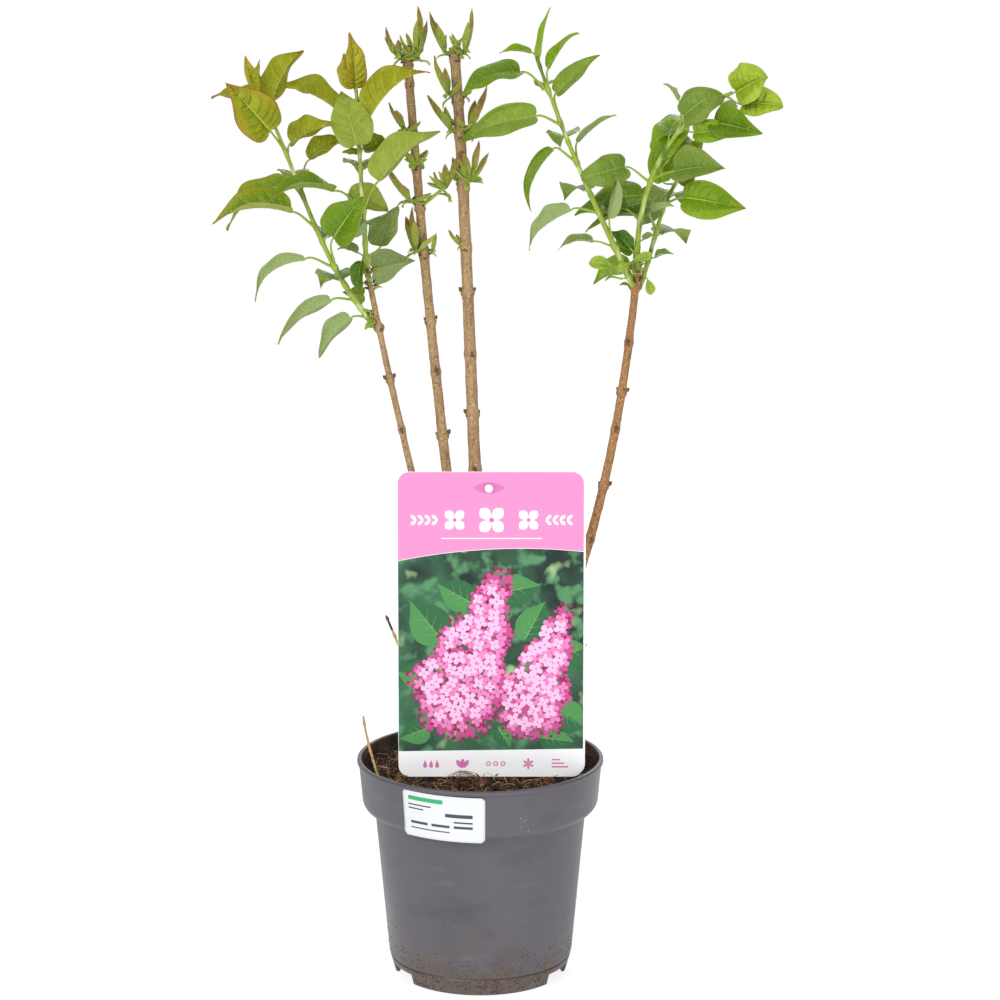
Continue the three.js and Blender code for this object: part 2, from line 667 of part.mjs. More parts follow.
const finish = (color, roughness) => new THREE.MeshStandardMaterial({ color, roughness, metalness: 0 });
const FINISH = {
  pot: finish(0x6c6a70, 0.5),
  compost: finish(0x35241a, 0.95),
  bark: finish(0xa98763, 0.8),
  barkRed: finish(0xaf784c, 0.75),
  dryWood: finish(0xc8a172, 0.85),
  leaf: finish(0x76983a, 0.5),
  youngLeaf: finish(0x97983a, 0.5),
  bud: finish(0x8a9440, 0.55),
  card: finish(0xf0a0d2, 0.35),
  peg: finish(0xf0f0ee, 0.4),
};

// ---------------------------------------------------------------- assembly

const bush = new THREE.Group();
bush.name = "lilac_bush";

function put(name, solid, material, group = bush) {
  const mesh = new THREE.Mesh(geometryOf(solid), material);
  mesh.name = name;
  group.add(mesh);
}

// The label and its peg share a leaning frame, with its origin at the middle of the card's lower edge.
const label = new THREE.Group();
label.position.set(LABEL.x, LABEL.y, LABEL.foot);
label.rotation.x = -radians(LABEL.lean);
label.updateMatrix();
bush.add(label);
const peg = labelPeg();
put("label_card", labelCard(), FINISH.card, label);
put("label_peg", peg, FINISH.peg, label);

// The peg's socket is a bore in the compost, a little larger than its shaft.
function pegSocket() {
  const block = new THREE.BoxGeometry(PEG.width + 2 * GAP, PEG.thick + 2 * GAP, PEG.point - PEG.foot + 10);
  const middle = LABEL.thick / 2 + GAP + PEG.thick / 2;
  block.translate(PEG.x, middle, (PEG.foot - PEG.point + 10) / 2 - GAP);
  return solidOf(block.applyMatrix4(label.matrix));
}

const limbs = [];
const sockets = [mainStem(GAP), pegSocket()];
put("main_stem", mainStem(0), FINISH.bark);
for (const [name, stem] of Object.entries(STEMS)) {
  const { curve, radiusAt, stops } = stemShape(stem);
  const solid = bar(curve, radiusAt, STEM_SIDES, stops).subtract(mainStem(GAP));
  put(name, largestBody(solid), name === "stem_right" ? FINISH.barkRed : FINISH.bark);
  limbs.push(bar(curve, radiusAt, STEM_SIDES, stops, GAP));
}
for (const [name, { path, foot, tip }] of Object.entries(TWIGS)) {
  const curve = limbCurve(path);
  const radiusAt = (along) => THREE.MathUtils.lerp(foot, tip, along);
  const twig = (grow) => bar(curve, radiusAt, TWIG_SIDES, evenStops(TWIG_STEPS), grow);
  put(name, clearOf(twig(0), sockets.slice(0, 1)), FINISH.dryWood);
  sockets.push(twig(GAP));
}
put("pot", pot(), FINISH.pot);
put("compost", compost(sockets), FINISH.compost);

// Masses of foliage: each is cut clear of the limbs, and its leaves keep clear of the masses made before it.
const masses = [];
for (const [name, rule] of Object.entries(SHOOTS)) {
  const others = Object.values(SHOOTS).filter((other) => other !== rule);
  const otherStems = others.map((other) => shootStem(other, GAP).solid);
  const solid = shoot(rule, limbs, otherStems, masses);
  put(name, solid, name.startsWith("shoot_left") ? FINISH.youngLeaf : FINISH.leaf);
  masses.push(solid);
}
for (const [place, { stem, rows }] of Object.entries(BUDS)) {
  const { curve } = stemShape(STEMS[stem]);
  rows.forEach((row, i) => {
    const root = curve.getPointAt(shareAtHeight(curve, row[0]));
    const solid = clearOf(budCluster(root, row, seeded(BUD_SEED + i), masses), limbs);
    put("buds_" + place + "_" + (i + 1), solid, FINISH.bud);
    masses.push(solid);
  });
}

export default bush;
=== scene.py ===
import math

import bmesh
import bpy
import numpy as np
from mathutils import Matrix, Vector, noise


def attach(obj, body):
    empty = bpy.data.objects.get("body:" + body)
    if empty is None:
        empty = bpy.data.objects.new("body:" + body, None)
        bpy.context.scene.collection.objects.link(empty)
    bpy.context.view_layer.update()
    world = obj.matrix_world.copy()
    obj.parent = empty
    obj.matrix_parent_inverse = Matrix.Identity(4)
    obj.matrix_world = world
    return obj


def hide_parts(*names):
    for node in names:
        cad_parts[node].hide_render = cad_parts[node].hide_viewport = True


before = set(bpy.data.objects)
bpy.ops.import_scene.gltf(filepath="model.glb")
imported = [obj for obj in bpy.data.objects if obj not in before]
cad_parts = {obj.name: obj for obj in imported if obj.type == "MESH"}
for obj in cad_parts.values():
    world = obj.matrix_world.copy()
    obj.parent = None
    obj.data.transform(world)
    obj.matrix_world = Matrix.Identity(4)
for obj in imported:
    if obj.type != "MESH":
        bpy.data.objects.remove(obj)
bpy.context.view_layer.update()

MM = 0.001
BODY = "root"
GAP = 0.3  # clearance between two solids that touch

# ---------------------------------------------------------------- driving sizes, in millimetres

POT_HEIGHT = 134.5
RIM_RADIUS = 75
LIP_DEPTH = 3
LIP_REACH = 1.2
LIP_RADIUS = 74.85  # a little inside the rim, which leaves room for the sticker
COLLAR_TAPER = 2
COLLAR_FOOT = 102.6
COLLAR_ROUND = 7
BODY_TOP_RADIUS = 64
BODY_FOOT_RADIUS = 56
BODY_FOOT = 12
FOOT_RADIUS = 52
FOOT_HEIGHT = 11
POT_WALL = 1.6
FLOOR_UNDER = 3
FLOOR_TOP = 5
PAD_RADIUS = 30
SLOT_START = 50  # degrees from the front, or from the back, to a drain slot
SLOT_END = 78
SLOT_HEIGHT = 7
POT_STEPS = 144

COMPOST_EDGE = 124.5
COMPOST_RISE = 2
COMPOST_BANK = 2.6  # how much higher it lies against the wall

MAIN_STEM = {"x": 5, "y": 5, "foot": 100, "top": 151, "radius": 8.4, "flare": 3.2, "flare_at": 127}

# Woody stems: the path's four points, foot and tip radius, heights of the nodes and of the old knuckle.
NODE_SWELL = 0.5
KNUCKLE_SWELL = 1.7
STEMS = {
    "stem_left": {
        "path": [(-1, 3, 140), (-24, 9, 238), (-48, -2, 336), (-66, -10, 434)],
        "foot": 2.7,
        "tip": 1.6,
        "nodes": [182, 213, 244, 275, 306, 337, 368, 399],
        "knuckle": 399,
    },
    "stem_inner_left": {
        "path": [(1, 9, 144), (-19, 4, 284), (-33, 18, 422), (-43, 26, 562)],
        "foot": 3.5,
        "tip": 2.4,
        "nodes": [199, 232, 265, 298, 331, 369, 400, 438, 467, 490, 509, 539, 551],
    },
    "stem_inner_right": {
        "path": [(10, 10, 144), (-7, 7, 285), (-4, 16, 423), (-15, 22, 561)],
        "foot": 4.1,
        "tip": 3.0,
        "nodes": [208, 242, 276, 310, 344, 380, 417, 443, 479, 509, 530, 554],
    },
    "stem_right": {
        "path": [(12, 2, 141), (66, 0, 230), (84, 4, 332), (93, 6, 431)],
        "foot": 3.2,
        "tip": 2.2,
        "nodes": [175, 203, 235, 269, 302, 336, 359, 388, 422],
        "knuckle": 422,
    },
}

TWIGS = {
    "weak_stem_left": {
        "path": [(-16, 12, 112), (-34, 12, 160), (-47, 8, 196), (-56, 5, 219)],
        "foot": 1.1,
        "tip": 0.7,
        "dead": 8,
    },
    "weak_stem_right": {
        "path": [(26, 10, 112), (40, 12, 145), (54, 10, 178), (64, 6, 203)],
        "foot": 1.0,
        "tip": 0.7,
    },
    "dry_twig": {
        "path": [(-56, -30, 112), (-60, -28, 128), (-68, -25, 148), (-70, -22, 166)],
        "foot": 0.9,
        "tip": 0.6,
    },
}

# Leafy shoots: the path's four points, foot and tip radius, and one row for each leaf. A row gives the
# way up the shoot; the stalk's length, bearing and rise; the blade's length, width, bearing, rise, roll
# about its midrib and bow; and its tone and form.
SHOOTS = {
    "shoot_left_outer": {
        "path": [(-61, -6, 399), (-97, -18, 443), (-104, -28, 497), (-127, -38, 542)],
        "foot": 1.7,
        "tip": 0.8,
        "leaves": [
            (4, 2, 300, 40, 12, 6, 80, 84, 60, 0.05, "bract", "bract"),
            (9, 11, 213, 0, 30, 16, 200, -46, 60, 0.08, "grey", "drooping"),
            (16, 10, 77, 36, 16, 10, 139, 0, 100, 0.05, "green", "flat"),
            (22, 17, 217, 3, 40, 15, 190, -37, 48, 0.09, "grey", "drooping"),
            (32, 16, 100, 5, 40, 22, 110, -12, 0, 0.1, "green", "flat"),
            (45, 21, 211, 17, 38, 11, 196, -36, 34, 0.18, "grey", "creased"),
            (45, 23, 270, 56, 30, 25, 345, 52, 75, 0.05, "green", "flat"),
            (62, 16, 80, 5, 38, 22, 75, -12, 0, 0.1, "green", "flat"),
            (72, 18, 203, 33, 46, 20, 191, -4, -20, 0.12, "edged", "creased"),
            (92, 18, 126, 16, 45, 20, 174, -33, -28, 0.10, "edged", "folded"),
            (95, 21, 65, 58, 26, 15, 26, 22, 30, 0.12, "bronze", "folded"),
            (104, 12, 95, 0, 32, 19, 100, -12, 0, 0.1, "olive", "flat"),
            (118, 8, 43, 69, 29, 16, 17, 19, -60, 0.12, "bronze", "folded"),
            (122, 16, 227, 46, 40, 26, 215, 46, -100, 0.04, "bronze", "flat"),
            (148, 6, 123, 40, 31, 16, 169, 5, -25, 0.1, "bronze", "flat"),
            (148, 7, 49, 55, 33, 20, 13, 58, -60, 0.08, "bronze", "folded"),
            (160, 1, 180, 60, 21, 7, 158, 66, -60, 0.05, "amber", "folded"),
            (160, 1, 0, 60, 18, 6, 286, 77, 20, 0.05, "bronze", "folded"),
        ],
    },
    "shoot_left_upright": {
        "path": [(-66, -10, 434), (-68, -11, 470), (-70, -13, 505), (-71, -14, 540)],
        "foot": 1.5,
        "tip": 0.8,
        "leaves": [
            (5, 13, 71, -30, 32, 21, 45, 2, -95, 0.08, "grey", "flat"),
            (5, 7, 248, 7, 20, 10, 254, -78, 20, 0.1, "dark", "folded"),
            (7, 12, 36, 30, 28, 20, 58, 52, 0, 0.1, "grey", "flat"),
            (7, 6, 180, 32, 14, 8, 154, 6, -25, 0.1, "grey", "folded"),
            (15, 15, 265, 67, 13, 9, 195, -47, 100, 0.05, "grey", "flat"),
            (23, 16, 100, 5, 38, 22, 75, -12, 0, 0.1, "green", "flat"),
            (34, 15, 140, 40, 27, 17, 15, -25, 60, 0.12, "silver", "folded"),
            (35, 23, 314, 53, 48, 23, 344, 41, -32, 0.08, "silver", "folded"),
            (35, 30, 232, 28, 40, 20, 204, -4, -9, 0.12, "green", "folded"),
            (58, 16, 90, 5, 36, 21, 95, -12, 0, 0.1, "olive", "flat"),
            (69, 2, 117, 0, 10, 5, 162, 0, -40, 0.05, "edged", "flat"),
            (71, 3, 38, 0, 16, 9, 16, 16, 70, 0.1, "olive", "folded"),
            (71, 11, 265, 19, 34, 24, 215, 74, 50, 0.03, "silver", "flat"),
            (77, 5, 10, 25, 13, 3, 5, -15, 0, 0.1, "edged", "folded"),
            (83, 16, 160, 40, 42, 18, 171, 19, 40, 0.11, "bronze", "folded"),
            (83, 14, 314, 39, 43, 24, 350, 39, -30, 0.12, "bronze", "folded"),
            (88, 10, 95, 5, 28, 17, 90, -12, 0, 0.1, "olive", "flat"),
            (99, 8, 180, 85, 32, 14, 125, 78, 0, 0.05, "amber", "flat"),
            (99, 9, 110, 56, 22, 12, 127, 62, -60, 0.05, "amber", "folded"),
        ],
    },
    "shoot_right_left": {
        "path": [(91, 4, 422), (68, -4, 469), (48, -13, 514), (33, -22, 559)],
        "foot": 1.8,
        "tip": 0.8,
        "leaves": [
            (6, 5, 215, 0, 11, 4, 202, 6, -10, 0.05, "bract", "bract"),
            (9, 11, 78, 26, 28, 16, 151, -28, 50, 0.1, "fresh", "flat"),
            (11, 4, 100, 40, 8, 4, 90, 20, 20, 0.05, "fresh", "flat"),
            (12, 8, 228, 7, 18, 9, 209, 20, -60, 0.05, "bract", "bract"),
            (26, 22, 248, 62, 27, 8, 300, 70, -60, 0.05, "grey", "folded"),
            (27, 15, 205, 16, 22, 10, 196, -7, -18, 0.12, "grey", "drooping"),
            (50, 18, 200, 8, 34, 13, 194, -36, 44, 0.08, "grey", "creased"),
            (62, 14, 105, 5, 34, 20, 110, -12, 0, 0.1, "green", "flat"),
            (83, 13, 81, 72, 28, 8, 25, 32, -18, 0.05, "grey", "folded"),
            (84, 17, 203, 27, 38, 12, 195, -65, 8, 0.10, "green", "creased"),
            (97, 12, 95, 5, 34, 20, 95, -12, 0, 0.1, "fresh", "flat"),
            (108, 18, 208, 19, 48, 22, 192, -16, 58, 0.08, "green", "rolled"),
            (111, 16, 132, 80, 33, 14, 12, 40, -60, 0.03, "green", "flat"),
            (129, 21, 200, 34, 40, 22, 193, -20, -28, 0.14, "green", "rolled"),
            (130, 13, 270, 81, 27, 10, 343, 54, 38, 0.04, "fresh", "folded"),
            (132, 8, 90, 5, 24, 13, 95, -12, 0, 0.1, "fresh", "flat"),
            (145, 10, 202, 57, 19, 8, 199, 2, -25, 0.06, "fresh", "folded"),
            (149, 1, 0, 60, 30, 6, 8, 79, -50, 0.01, "fresh", "folded"),
        ],
    },
    "shoot_right_middle": {
        "path": [(93, 6, 431), (91, 2, 474), (106, -2, 520), (147, -6, 537)],
        "foot": 1.7,
        "tip": 0.8,
        "leaves": [
            (5, 5, 236, 7, 11, 5, 215, -15, -50, 0.05, "bract", "bract"),
            (5, 4, 312, 6, 10, 5, 302, 38, 85, 0.05, "bract", "bract"),
            (5, 6, 230, 10, 13, 6, 340, 22, 60, 0.08, "bract", "bract"),
            (9, 7, 217, 43, 17, 10, 153, 37, -40, 0.1, "dark", "folded"),
            (9, 7, 111, 9, 15, 9, 139, 26, -50, 0.1, "green", "flat"),
            (14, 9, 296, 40, 10, 5, 323, 18, 60, 0.08, "grey", "folded"),
            (30, 14, 129, 24, 20, 13, 144, 6, -60, 0.08, "dark", "folded"),
            (54, 19, 201, 31, 28, 19, 215, -7, -75, 0.08, "rimmed", "cupped"),
            (56, 20, 313, 18, 30, 22, 340, 4, 62, 0.12, "rimmed", "folded"),
            (60, 10, 60, 10, 26, 24, 20, 45, 60, 0.06, "green", "cupped"),
            (66, 13, 78, 19, 32, 21, 53, 52, 20, 0.06, "fresh", "cupped"),
            (77, 12, 80, 30, 26, 15, 80, 8, 0, 0.1, "green", "flat"),
            (89, 11, 287, 57, 24, 21, 330, 36, 80, 0.06, "rimmed", "cupped"),
            (90, 18, 100, 70, 13, 5, 150, 47, 50, 0.05, "grey", "folded"),
            (94, 19, 328, 6, 30, 20, 335, -10, 62, 0.10, "green", "folded"),
            (107, 12, 60, 5, 30, 18, 55, -12, 0, 0.1, "green", "flat"),
            (123, 12, 333, -24, 24, 18, 334, 2, 66, 0.08, "lime", "crinkled"),
            (127, 5, 310, 15, 21, 24, 330, 24, 85, 0.08, "lime", "crinkled"),
            (92, 12, 300, -10, 27, 14, 352, 2, 74, 0.06, "fresh", "rolled"),
        ],
    },
    "shoot_right_back": {
        "path": [(95, 7, 422), (104, 17, 445), (106, 26, 466), (119, 34, 483)],
        "foot": 1.4,
        "tip": 0.9,
        "leaves": [
            (5, 3, 321, 4, 10, 6, 299, -57, 25, 0.1, "bract", "bract"),
            (16, 5, 331, 29, 12, 6, 340, 14, 30, 0.1, "grey", "folded"),
            (30, 14, 70, 5, 36, 21, 60, -12, 0, 0.1, "green", "flat"),
            (35, 12, 134, 47, 38, 20, 177, -13, -12, 0.1, "green", "rolled"),
            (36, 15, 246, 53, 15, 7, 335, 17, -40, 0.05, "grey", "folded"),
            (48, 17, 148, 29, 42, 24, 171, -16, -40, 0.1, "green", "rolled"),
            (53, 13, 329, 19, 38, 23, 343, -5, 75, 0.06, "fresh", "rolled"),
            (55, 12, 75, 5, 34, 20, 75, -12, 0, 0.1, "green", "flat"),
            (60, 11, 116, 0, 30, 20, 135, -50, -100, 0.06, "grey", "flat"),
            (66, 8, 200, 14, 24, 14, 130, 65, -35, 0.05, "fresh", "flat"),
            (69, 4, 234, 47, 32, 24, 312, 47, 110, 0.05, "green", "flat"),
        ],
    },
}

# Opening bud clusters: the node's height, bearing, rise, longest leaf, number of leaves, fan and the
# length of the spur that they stand on.
SPUR_RADIUS = 1.1
BUD_LEAF_SHARE = 0.9  # how long a bud's leaves are, set against the solids that stand for them
BUD_SEED = 7
BUDS = {
    "inner_left": {
        "stem": "stem_inner_left",
        "rows": [
            (438, 200, 84, 28, 5, 60, 4),
            (438, 0, 76, 13, 4, 50, 3),
            (467, 185, 52, 26, 7, 50, 5),
            (467, 345, 66, 27, 7, 45, 18),
            (490, 275, 68, 14, 5, 60, 4),
            (490, 95, 60, 14, 5, 60, 4),
            (509, 185, 58, 20, 6, 50, 4),
            (551, 195, 62, 22, 7, 50, 4),
            (551, 340, 84, 32, 6, 45, 4),
        ],
    },
    "inner_right": {
        "stem": "stem_inner_right",
        "rows": [
            (443, 180, 50, 11, 4, 50, 3),
            (479, 320, 72, 28, 7, 45, 5),
            (479, 120, 60, 16, 5, 60, 4),
            (509, 180, 54, 28, 6, 50, 4),
            (509, 10, 66, 30, 6, 50, 4),
            (530, 180, 66, 27, 6, 45, 4),
            (530, 0, 50, 12, 4, 70, 3),
            (554, 175, 66, 29, 6, 45, 4),
            (554, 350, 78, 28, 6, 45, 4),
        ],
    },
}

# Plant label and its peg.
LABEL = {"width": 112, "height": 185, "thick": 0.6, "corner": 7, "x": 7, "y": -25, "foot": 129, "lean": 4}
PEG = {"x": -1.5, "head": 175, "width": 6, "thick": 1.6, "foot": -52, "point": 8}
PEG_HEAD = {"shank": 1.5, "button": 2.6, "depth": 1.4}
HEADER_FOOT = (131.5, 138.6, 137.0)  # the header's lower edge at the left, in the middle and at the right
FOOTER_TOP = (15.6, 17.2)  # the white footer's upper edge at the left and at the right

# What starts each run of chance in the scene alone.
LEAF_SEED = 11
BUD_LEAF_SEED = 31
TWIG_SEED = 21
LENTICEL_SEED = 41
SCALE_SEED = 5
FLECK_SEED = 23
ROOT_SEED = 17

# ---------------------------------------------------------------- directions and curves


def heading(bearing, rise):
    """The unit vector at a bearing and a rise, both in degrees."""
    across = math.cos(math.radians(rise))
    turn = math.radians(bearing)
    return np.array([across * math.cos(turn), across * math.sin(turn), math.sin(math.radians(rise))])


def unit(vector):
    return vector / np.linalg.norm(vector)


def turned_about(vector, axis, degrees):
    return np.array(Matrix.Rotation(math.radians(degrees), 3, Vector(axis)) @ Vector(vector))


def bezier(path, along):
    """Points of a cubic Bezier curve at the given parameters."""
    a, b, c, d = (np.array(point, float) for point in path)
    t = np.asarray(along, float)[..., None]
    return a * (1 - t) ** 3 + b * 3 * t * (1 - t) ** 2 + c * 3 * t**2 * (1 - t) + d * t**3


def full_circle(count):
    """Evenly spaced turns round a circle, in radians."""
    return np.linspace(0, 2 * math.pi, count, endpoint=False)


def polar(radius, turn):
    """The x and y that a radius and a turn in radians lead to."""
    return radius * np.cos(turn), radius * np.sin(turn)


def flat_axes(turn):
    """Ahead and to the left of a turn in degrees, on a flat face."""
    ahead = np.array([math.cos(math.radians(turn)), math.sin(math.radians(turn))])
    return ahead, np.array([-ahead[1], ahead[0]])


def bell(offset, width):
    """A smooth swelling that is 1 where the offset is 0."""
    return np.exp(-((offset / width) ** 2))


class Limb:
    """A stem, twig or shoot on a Bezier curve, read by its own length."""

    def __init__(self, rule):
        self.table = bezier(rule["path"], np.linspace(0, 1, 801))
        steps = np.linalg.norm(np.diff(self.table, axis=0), axis=1)
        self.ways = np.concatenate([[0], np.cumsum(steps)])
        self.length = self.ways[-1]
        self.ends = rule["foot"], rule["tip"]

    def at(self, way):
        """Points some millimetres up the limb."""
        return np.stack([np.interp(way, self.ways, self.table[:, k]) for k in range(3)], axis=-1)

    def radius(self, way):
        return np.interp(way, [0, self.length], self.ends)

    def ahead(self, way):
        return unit(self.at(min(way + 0.5, self.length)) - self.at(max(way - 0.5, 0)))

    def way_to(self, height):
        return float(np.interp(height, self.table[:, 2], self.ways))

    def spaced(self, step):
        """Ways up the whole limb, about a step apart."""
        return np.linspace(0, self.length, int(self.length / step))


def seeded(seed):
    """The source's repeatable numbers from 0 to 1, in the same double arithmetic."""
    state = float(seed)
    while True:
        state = math.fmod(state * 1103515245.0 + 12345.0, 2147483648.0)
        yield state / 2147483648.0


# ---------------------------------------------------------------- meshes


def new_object(name, data):
    thing = bpy.data.objects.new(name, data)
    bpy.context.scene.collection.objects.link(thing)
    return thing


def discard(*things):
    for thing in things:
        bpy.data.objects.remove(thing)


def evaluated(thing):
    """The plain mesh that an object's modifiers make."""
    return bpy.data.meshes.new_from_object(thing.evaluated_get(bpy.context.evaluated_depsgraph_get()))


def plain_mesh(name, bm, *materials):
    """A bmesh made into a plain mesh, and freed."""
    mesh = bpy.data.meshes.new(name)
    bm.to_mesh(mesh)
    bm.free()
    for material in materials:
        mesh.materials.append(material)
    return mesh


def grid_faces(rows, columns, closed=False):
    """Quads over a grid of points, its columns joined into a ring if closed."""
    across = columns if closed else columns - 1
    row, column = np.meshgrid(np.arange(rows - 1), np.arange(across), indexing="ij")
    left = row * columns + column
    right = row * columns + (column + 1) % columns
    return np.stack([left, right, right + columns, left + columns], axis=-1).reshape(-1, 4)


class Heap:
    """Points, faces and each face's material name, gathered into one mesh."""

    def __init__(self):
        self.points, self.faces, self.kinds, self.names, self.count = [], [], [], [], 0

    def kind(self, name):
        if name not in self.names:
            self.names.append(name)
        return self.names.index(name)

    def put(self, points):
        """Adds points, and gives the number of the first."""
        first = self.count
        self.points.append(np.asarray(points, float).reshape(-1, 3))
        self.count += len(self.points[-1])
        return first

    def cover(self, faces, kinds, first):
        """Adds faces over points counted from first, with one material name or a number for each."""
        faces = np.asarray(faces, int)
        if isinstance(kinds, str):
            kinds = self.kind(kinds)
        self.faces.append(faces + first)
        self.kinds.append(np.broadcast_to(kinds, len(faces)))

    def fan(self, ring, middle, kind, first, flip=False):
        """Triangles from a ring of points to one in its middle."""
        pair = (np.roll(ring, -1), ring) if flip else (ring, np.roll(ring, -1))
        self.cover(np.stack([*pair, np.full(len(ring), middle)], 1), kind, first)

    def wall(self, loop, on, kind, first, flip=False):
        """Quads from a loop of points to the same loop some points further on."""
        after = np.roll(loop, -1)
        corners = (loop, loop + on, after + on, after) if flip else (loop, after, after + on, loop + on)
        self.cover(np.stack(corners, 1), kind, first)

    def sheet(self, front, back, front_kinds, back_kinds, rim_kind):
        """Two grids of points back to back, joined round their edge."""
        rows, columns = front.shape[:2]
        count = rows * columns
        faces = grid_faces(rows, columns)
        first = self.put(front)
        self.put(back)
        self.cover(faces[:, ::-1], front_kinds, first)
        self.cover(faces + count, back_kinds, first)
        number = np.arange(count).reshape(rows, columns)
        loop = np.concatenate([number[0, :-1], number[:-1, -1], number[-1, :0:-1], number[:0:-1, 0]])
        self.wall(loop, count, rim_kind, first)


def mesh_of(name, heap, smooth=True):
    mesh = bpy.data.meshes.new(name)
    points = np.vstack(heap.points) * MM
    corners = np.concatenate([faces.ravel() for faces in heap.faces])
    sizes = np.concatenate([np.full(len(faces), faces.shape[1]) for faces in heap.faces])
    mesh.vertices.add(len(points))
    mesh.vertices.foreach_set("co", points.ravel())
    mesh.loops.add(len(corners))
    mesh.loops.foreach_set("vertex_index", corners)
    mesh.polygons.add(len(sizes))
    mesh.polygons.foreach_set("loop_start", np.concatenate([[0], np.cumsum(sizes)[:-1]]))
    for material in heap.names:
        mesh.materials.append(MATERIALS[material])
    mesh.polygons.foreach_set("material_index", np.concatenate(heap.kinds))
    mesh.polygons.foreach_set("use_smooth", np.full(len(sizes), smooth))
    mesh.update(calc_edges=True)
    mesh.validate()
    return mesh


def piece(name, shape, slot, *nodes, smooth=True):
    """A finished piece of the bush: an object on the one body, which may stand for some nodes."""
    mesh = mesh_of(name, shape, smooth) if isinstance(shape, Heap) else shape
    thing = new_object(name, mesh)
    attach(thing, BODY)
    if nodes:
        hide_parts(*nodes)
    return thing


def tube(heap, points, radii, kind, sides=None, end_kind=None, spots=None):
    """A closed tube along points, with one radius for each point or for each point and side.

    Where spots, a mask of (point, side), is true, the face has the material that it names.
    """
    points = np.asarray(points, float)
    radii = np.asarray(radii, float)
    if radii.ndim == 1:
        radii = np.repeat(radii[:, None], sides, axis=1)
    rings, sides = radii.shape
    ahead = np.gradient(points, axis=0)
    ahead /= np.linalg.norm(ahead, axis=1)[:, None]
    start = np.array([1.0, 0, 0]) if abs(ahead[0, 2]) > 0.7 else np.array([0, 0, 1.0])
    over = np.empty((rings, 3))
    for k in range(rings):
        start = unit(start - ahead[k] * (start @ ahead[k]))
        over[k] = start
    beside = np.cross(ahead, over)
    turn = full_circle(sides)
    around = over[:, None] * np.cos(turn)[None, :, None] + beside[:, None] * np.sin(turn)[None, :, None]
    kinds = np.full((rings - 1, sides), heap.kind(kind))
    for material, mask in (spots or {}).items():
        kinds[mask[:-1]] = heap.kind(material)
    first = heap.put(points[:, None] + around * radii[..., None])
    heap.put([points[0], points[-1]])
    heap.cover(grid_faces(rings, sides, closed=True), kinds.ravel(), first)
    ring = np.arange(sides)
    heap.fan(ring, rings * sides, end_kind or kind, first, flip=True)
    heap.fan(ring + (rings - 1) * sides, rings * sides + 1, end_kind or kind, first)


def roughened(points, size, amount, seed):
    """A smooth noise from -amount to amount at each point, for features of some size."""
    offset = Vector((seed * 13.7, seed * 7.1, seed * 3.3))
    flat = np.asarray(points, float).reshape(-1, 3) / size
    values = [noise.noise(Vector(point) + offset) for point in flat]
    return (np.array(values) * amount).reshape(np.shape(points)[:-1])


def skin_field(ways, turn, across, along):
    """Where the points of a tube's skin stand in a noise that is stretched along the tube."""
    field = np.empty((len(ways), len(turn), 3))
    field[..., 0] = np.cos(turn) * across
    field[..., 1] = np.sin(turn) * across
    field[..., 2] = ways[:, None] * along
    return field


# ---------------------------------------------------------------- materials


def linear(colour):
    """A colour given in 8-bit steps, as the linear numbers that a shader takes."""
    steps = [value / 255 for value in colour]
    return tuple(v / 12.92 if v < 0.04045 else ((v + 0.055) / 1.055) ** 2.4 for v in steps)


def blended(one, other, share):
    return tuple(a * (1 - share) + b * share for a, b in zip(one, other))


def fill(tree, node, inputs):
    """Gives each named input of a node its value, or the socket that feeds it."""
    for name, value in inputs.items():
        if isinstance(value, bpy.types.NodeSocket):
            tree.links.new(value, node.inputs[name])
        else:
            node.inputs[name].default_value = value


def add_node(tree, kind, inputs, **settings):
    node = tree.nodes.new(kind)
    for name, value in settings.items():
        setattr(node, name, value)
    fill(tree, node, inputs)
    return node


def node_group(kind, name, inputs, output):
    """An empty node group with named inputs and one output, and its two ends' sockets."""
    tree = bpy.data.node_groups.new(name, kind)
    for label, socket_kind, value in inputs:
        socket = tree.interface.new_socket(name=label, in_out="INPUT", socket_type="NodeSocket" + socket_kind)
        if value is not None:
            socket.default_value = value
    label, socket_kind = output
    tree.interface.new_socket(name=label, in_out="OUTPUT", socket_type="NodeSocket" + socket_kind)
    return tree, tree.nodes.new("NodeGroupInput").outputs, tree.nodes.new("NodeGroupOutput").inputs


def blotch_group():
    """Soft patches: a mask from 0 to 1 of noise of some size, with how much is covered and how sharp."""
    inputs = [("Vector", "Vector", None), ("Scale", "Float", 100.0), ("Detail", "Float", 3.0)]
    inputs += [("Low", "Float", 0.4), ("High", "Float", 0.6)]
    tree, start, end = node_group("ShaderNodeTree", "blotches", inputs, ("Mask", "Float"))
    fed = {name: start[name] for name in ("Vector", "Scale", "Detail")}
    noisy = add_node(tree, "ShaderNodeTexNoise", fed).outputs["Fac"]
    limits = {"Value": noisy, "From Min": start["Low"], "From Max": start["High"]}
    tree.links.new(add_node(tree, "ShaderNodeMapRange", limits).outputs["Result"], end["Mask"])
    return tree


def relief_group():
    """Fine relief: a height of noise at two sizes, for bumps that catch the light."""
    inputs = [("Vector", "Vector", None), ("Scale", "Float", 300.0), ("Fine", "Float", 4.0)]
    inputs += [("Share", "Float", 0.4)]
    tree, start, end = node_group("ShaderNodeTree", "fine_relief", inputs, ("Height", "Float"))
    finer = add_node(tree, "ShaderNodeMath", {0: start["Scale"], 1: start["Fine"]}, operation="MULTIPLY")
    coarse, fine = (
        add_node(tree, "ShaderNodeTexNoise", {"Vector": start["Vector"], "Scale": scale}).outputs["Fac"]
        for scale in (start["Scale"], finer.outputs[0])
    )
    blend = add_node(tree, "ShaderNodeMix", {"Factor": start["Share"], "A": coarse, "B": fine})
    tree.links.new(blend.outputs["Result"], end["Height"])
    return tree


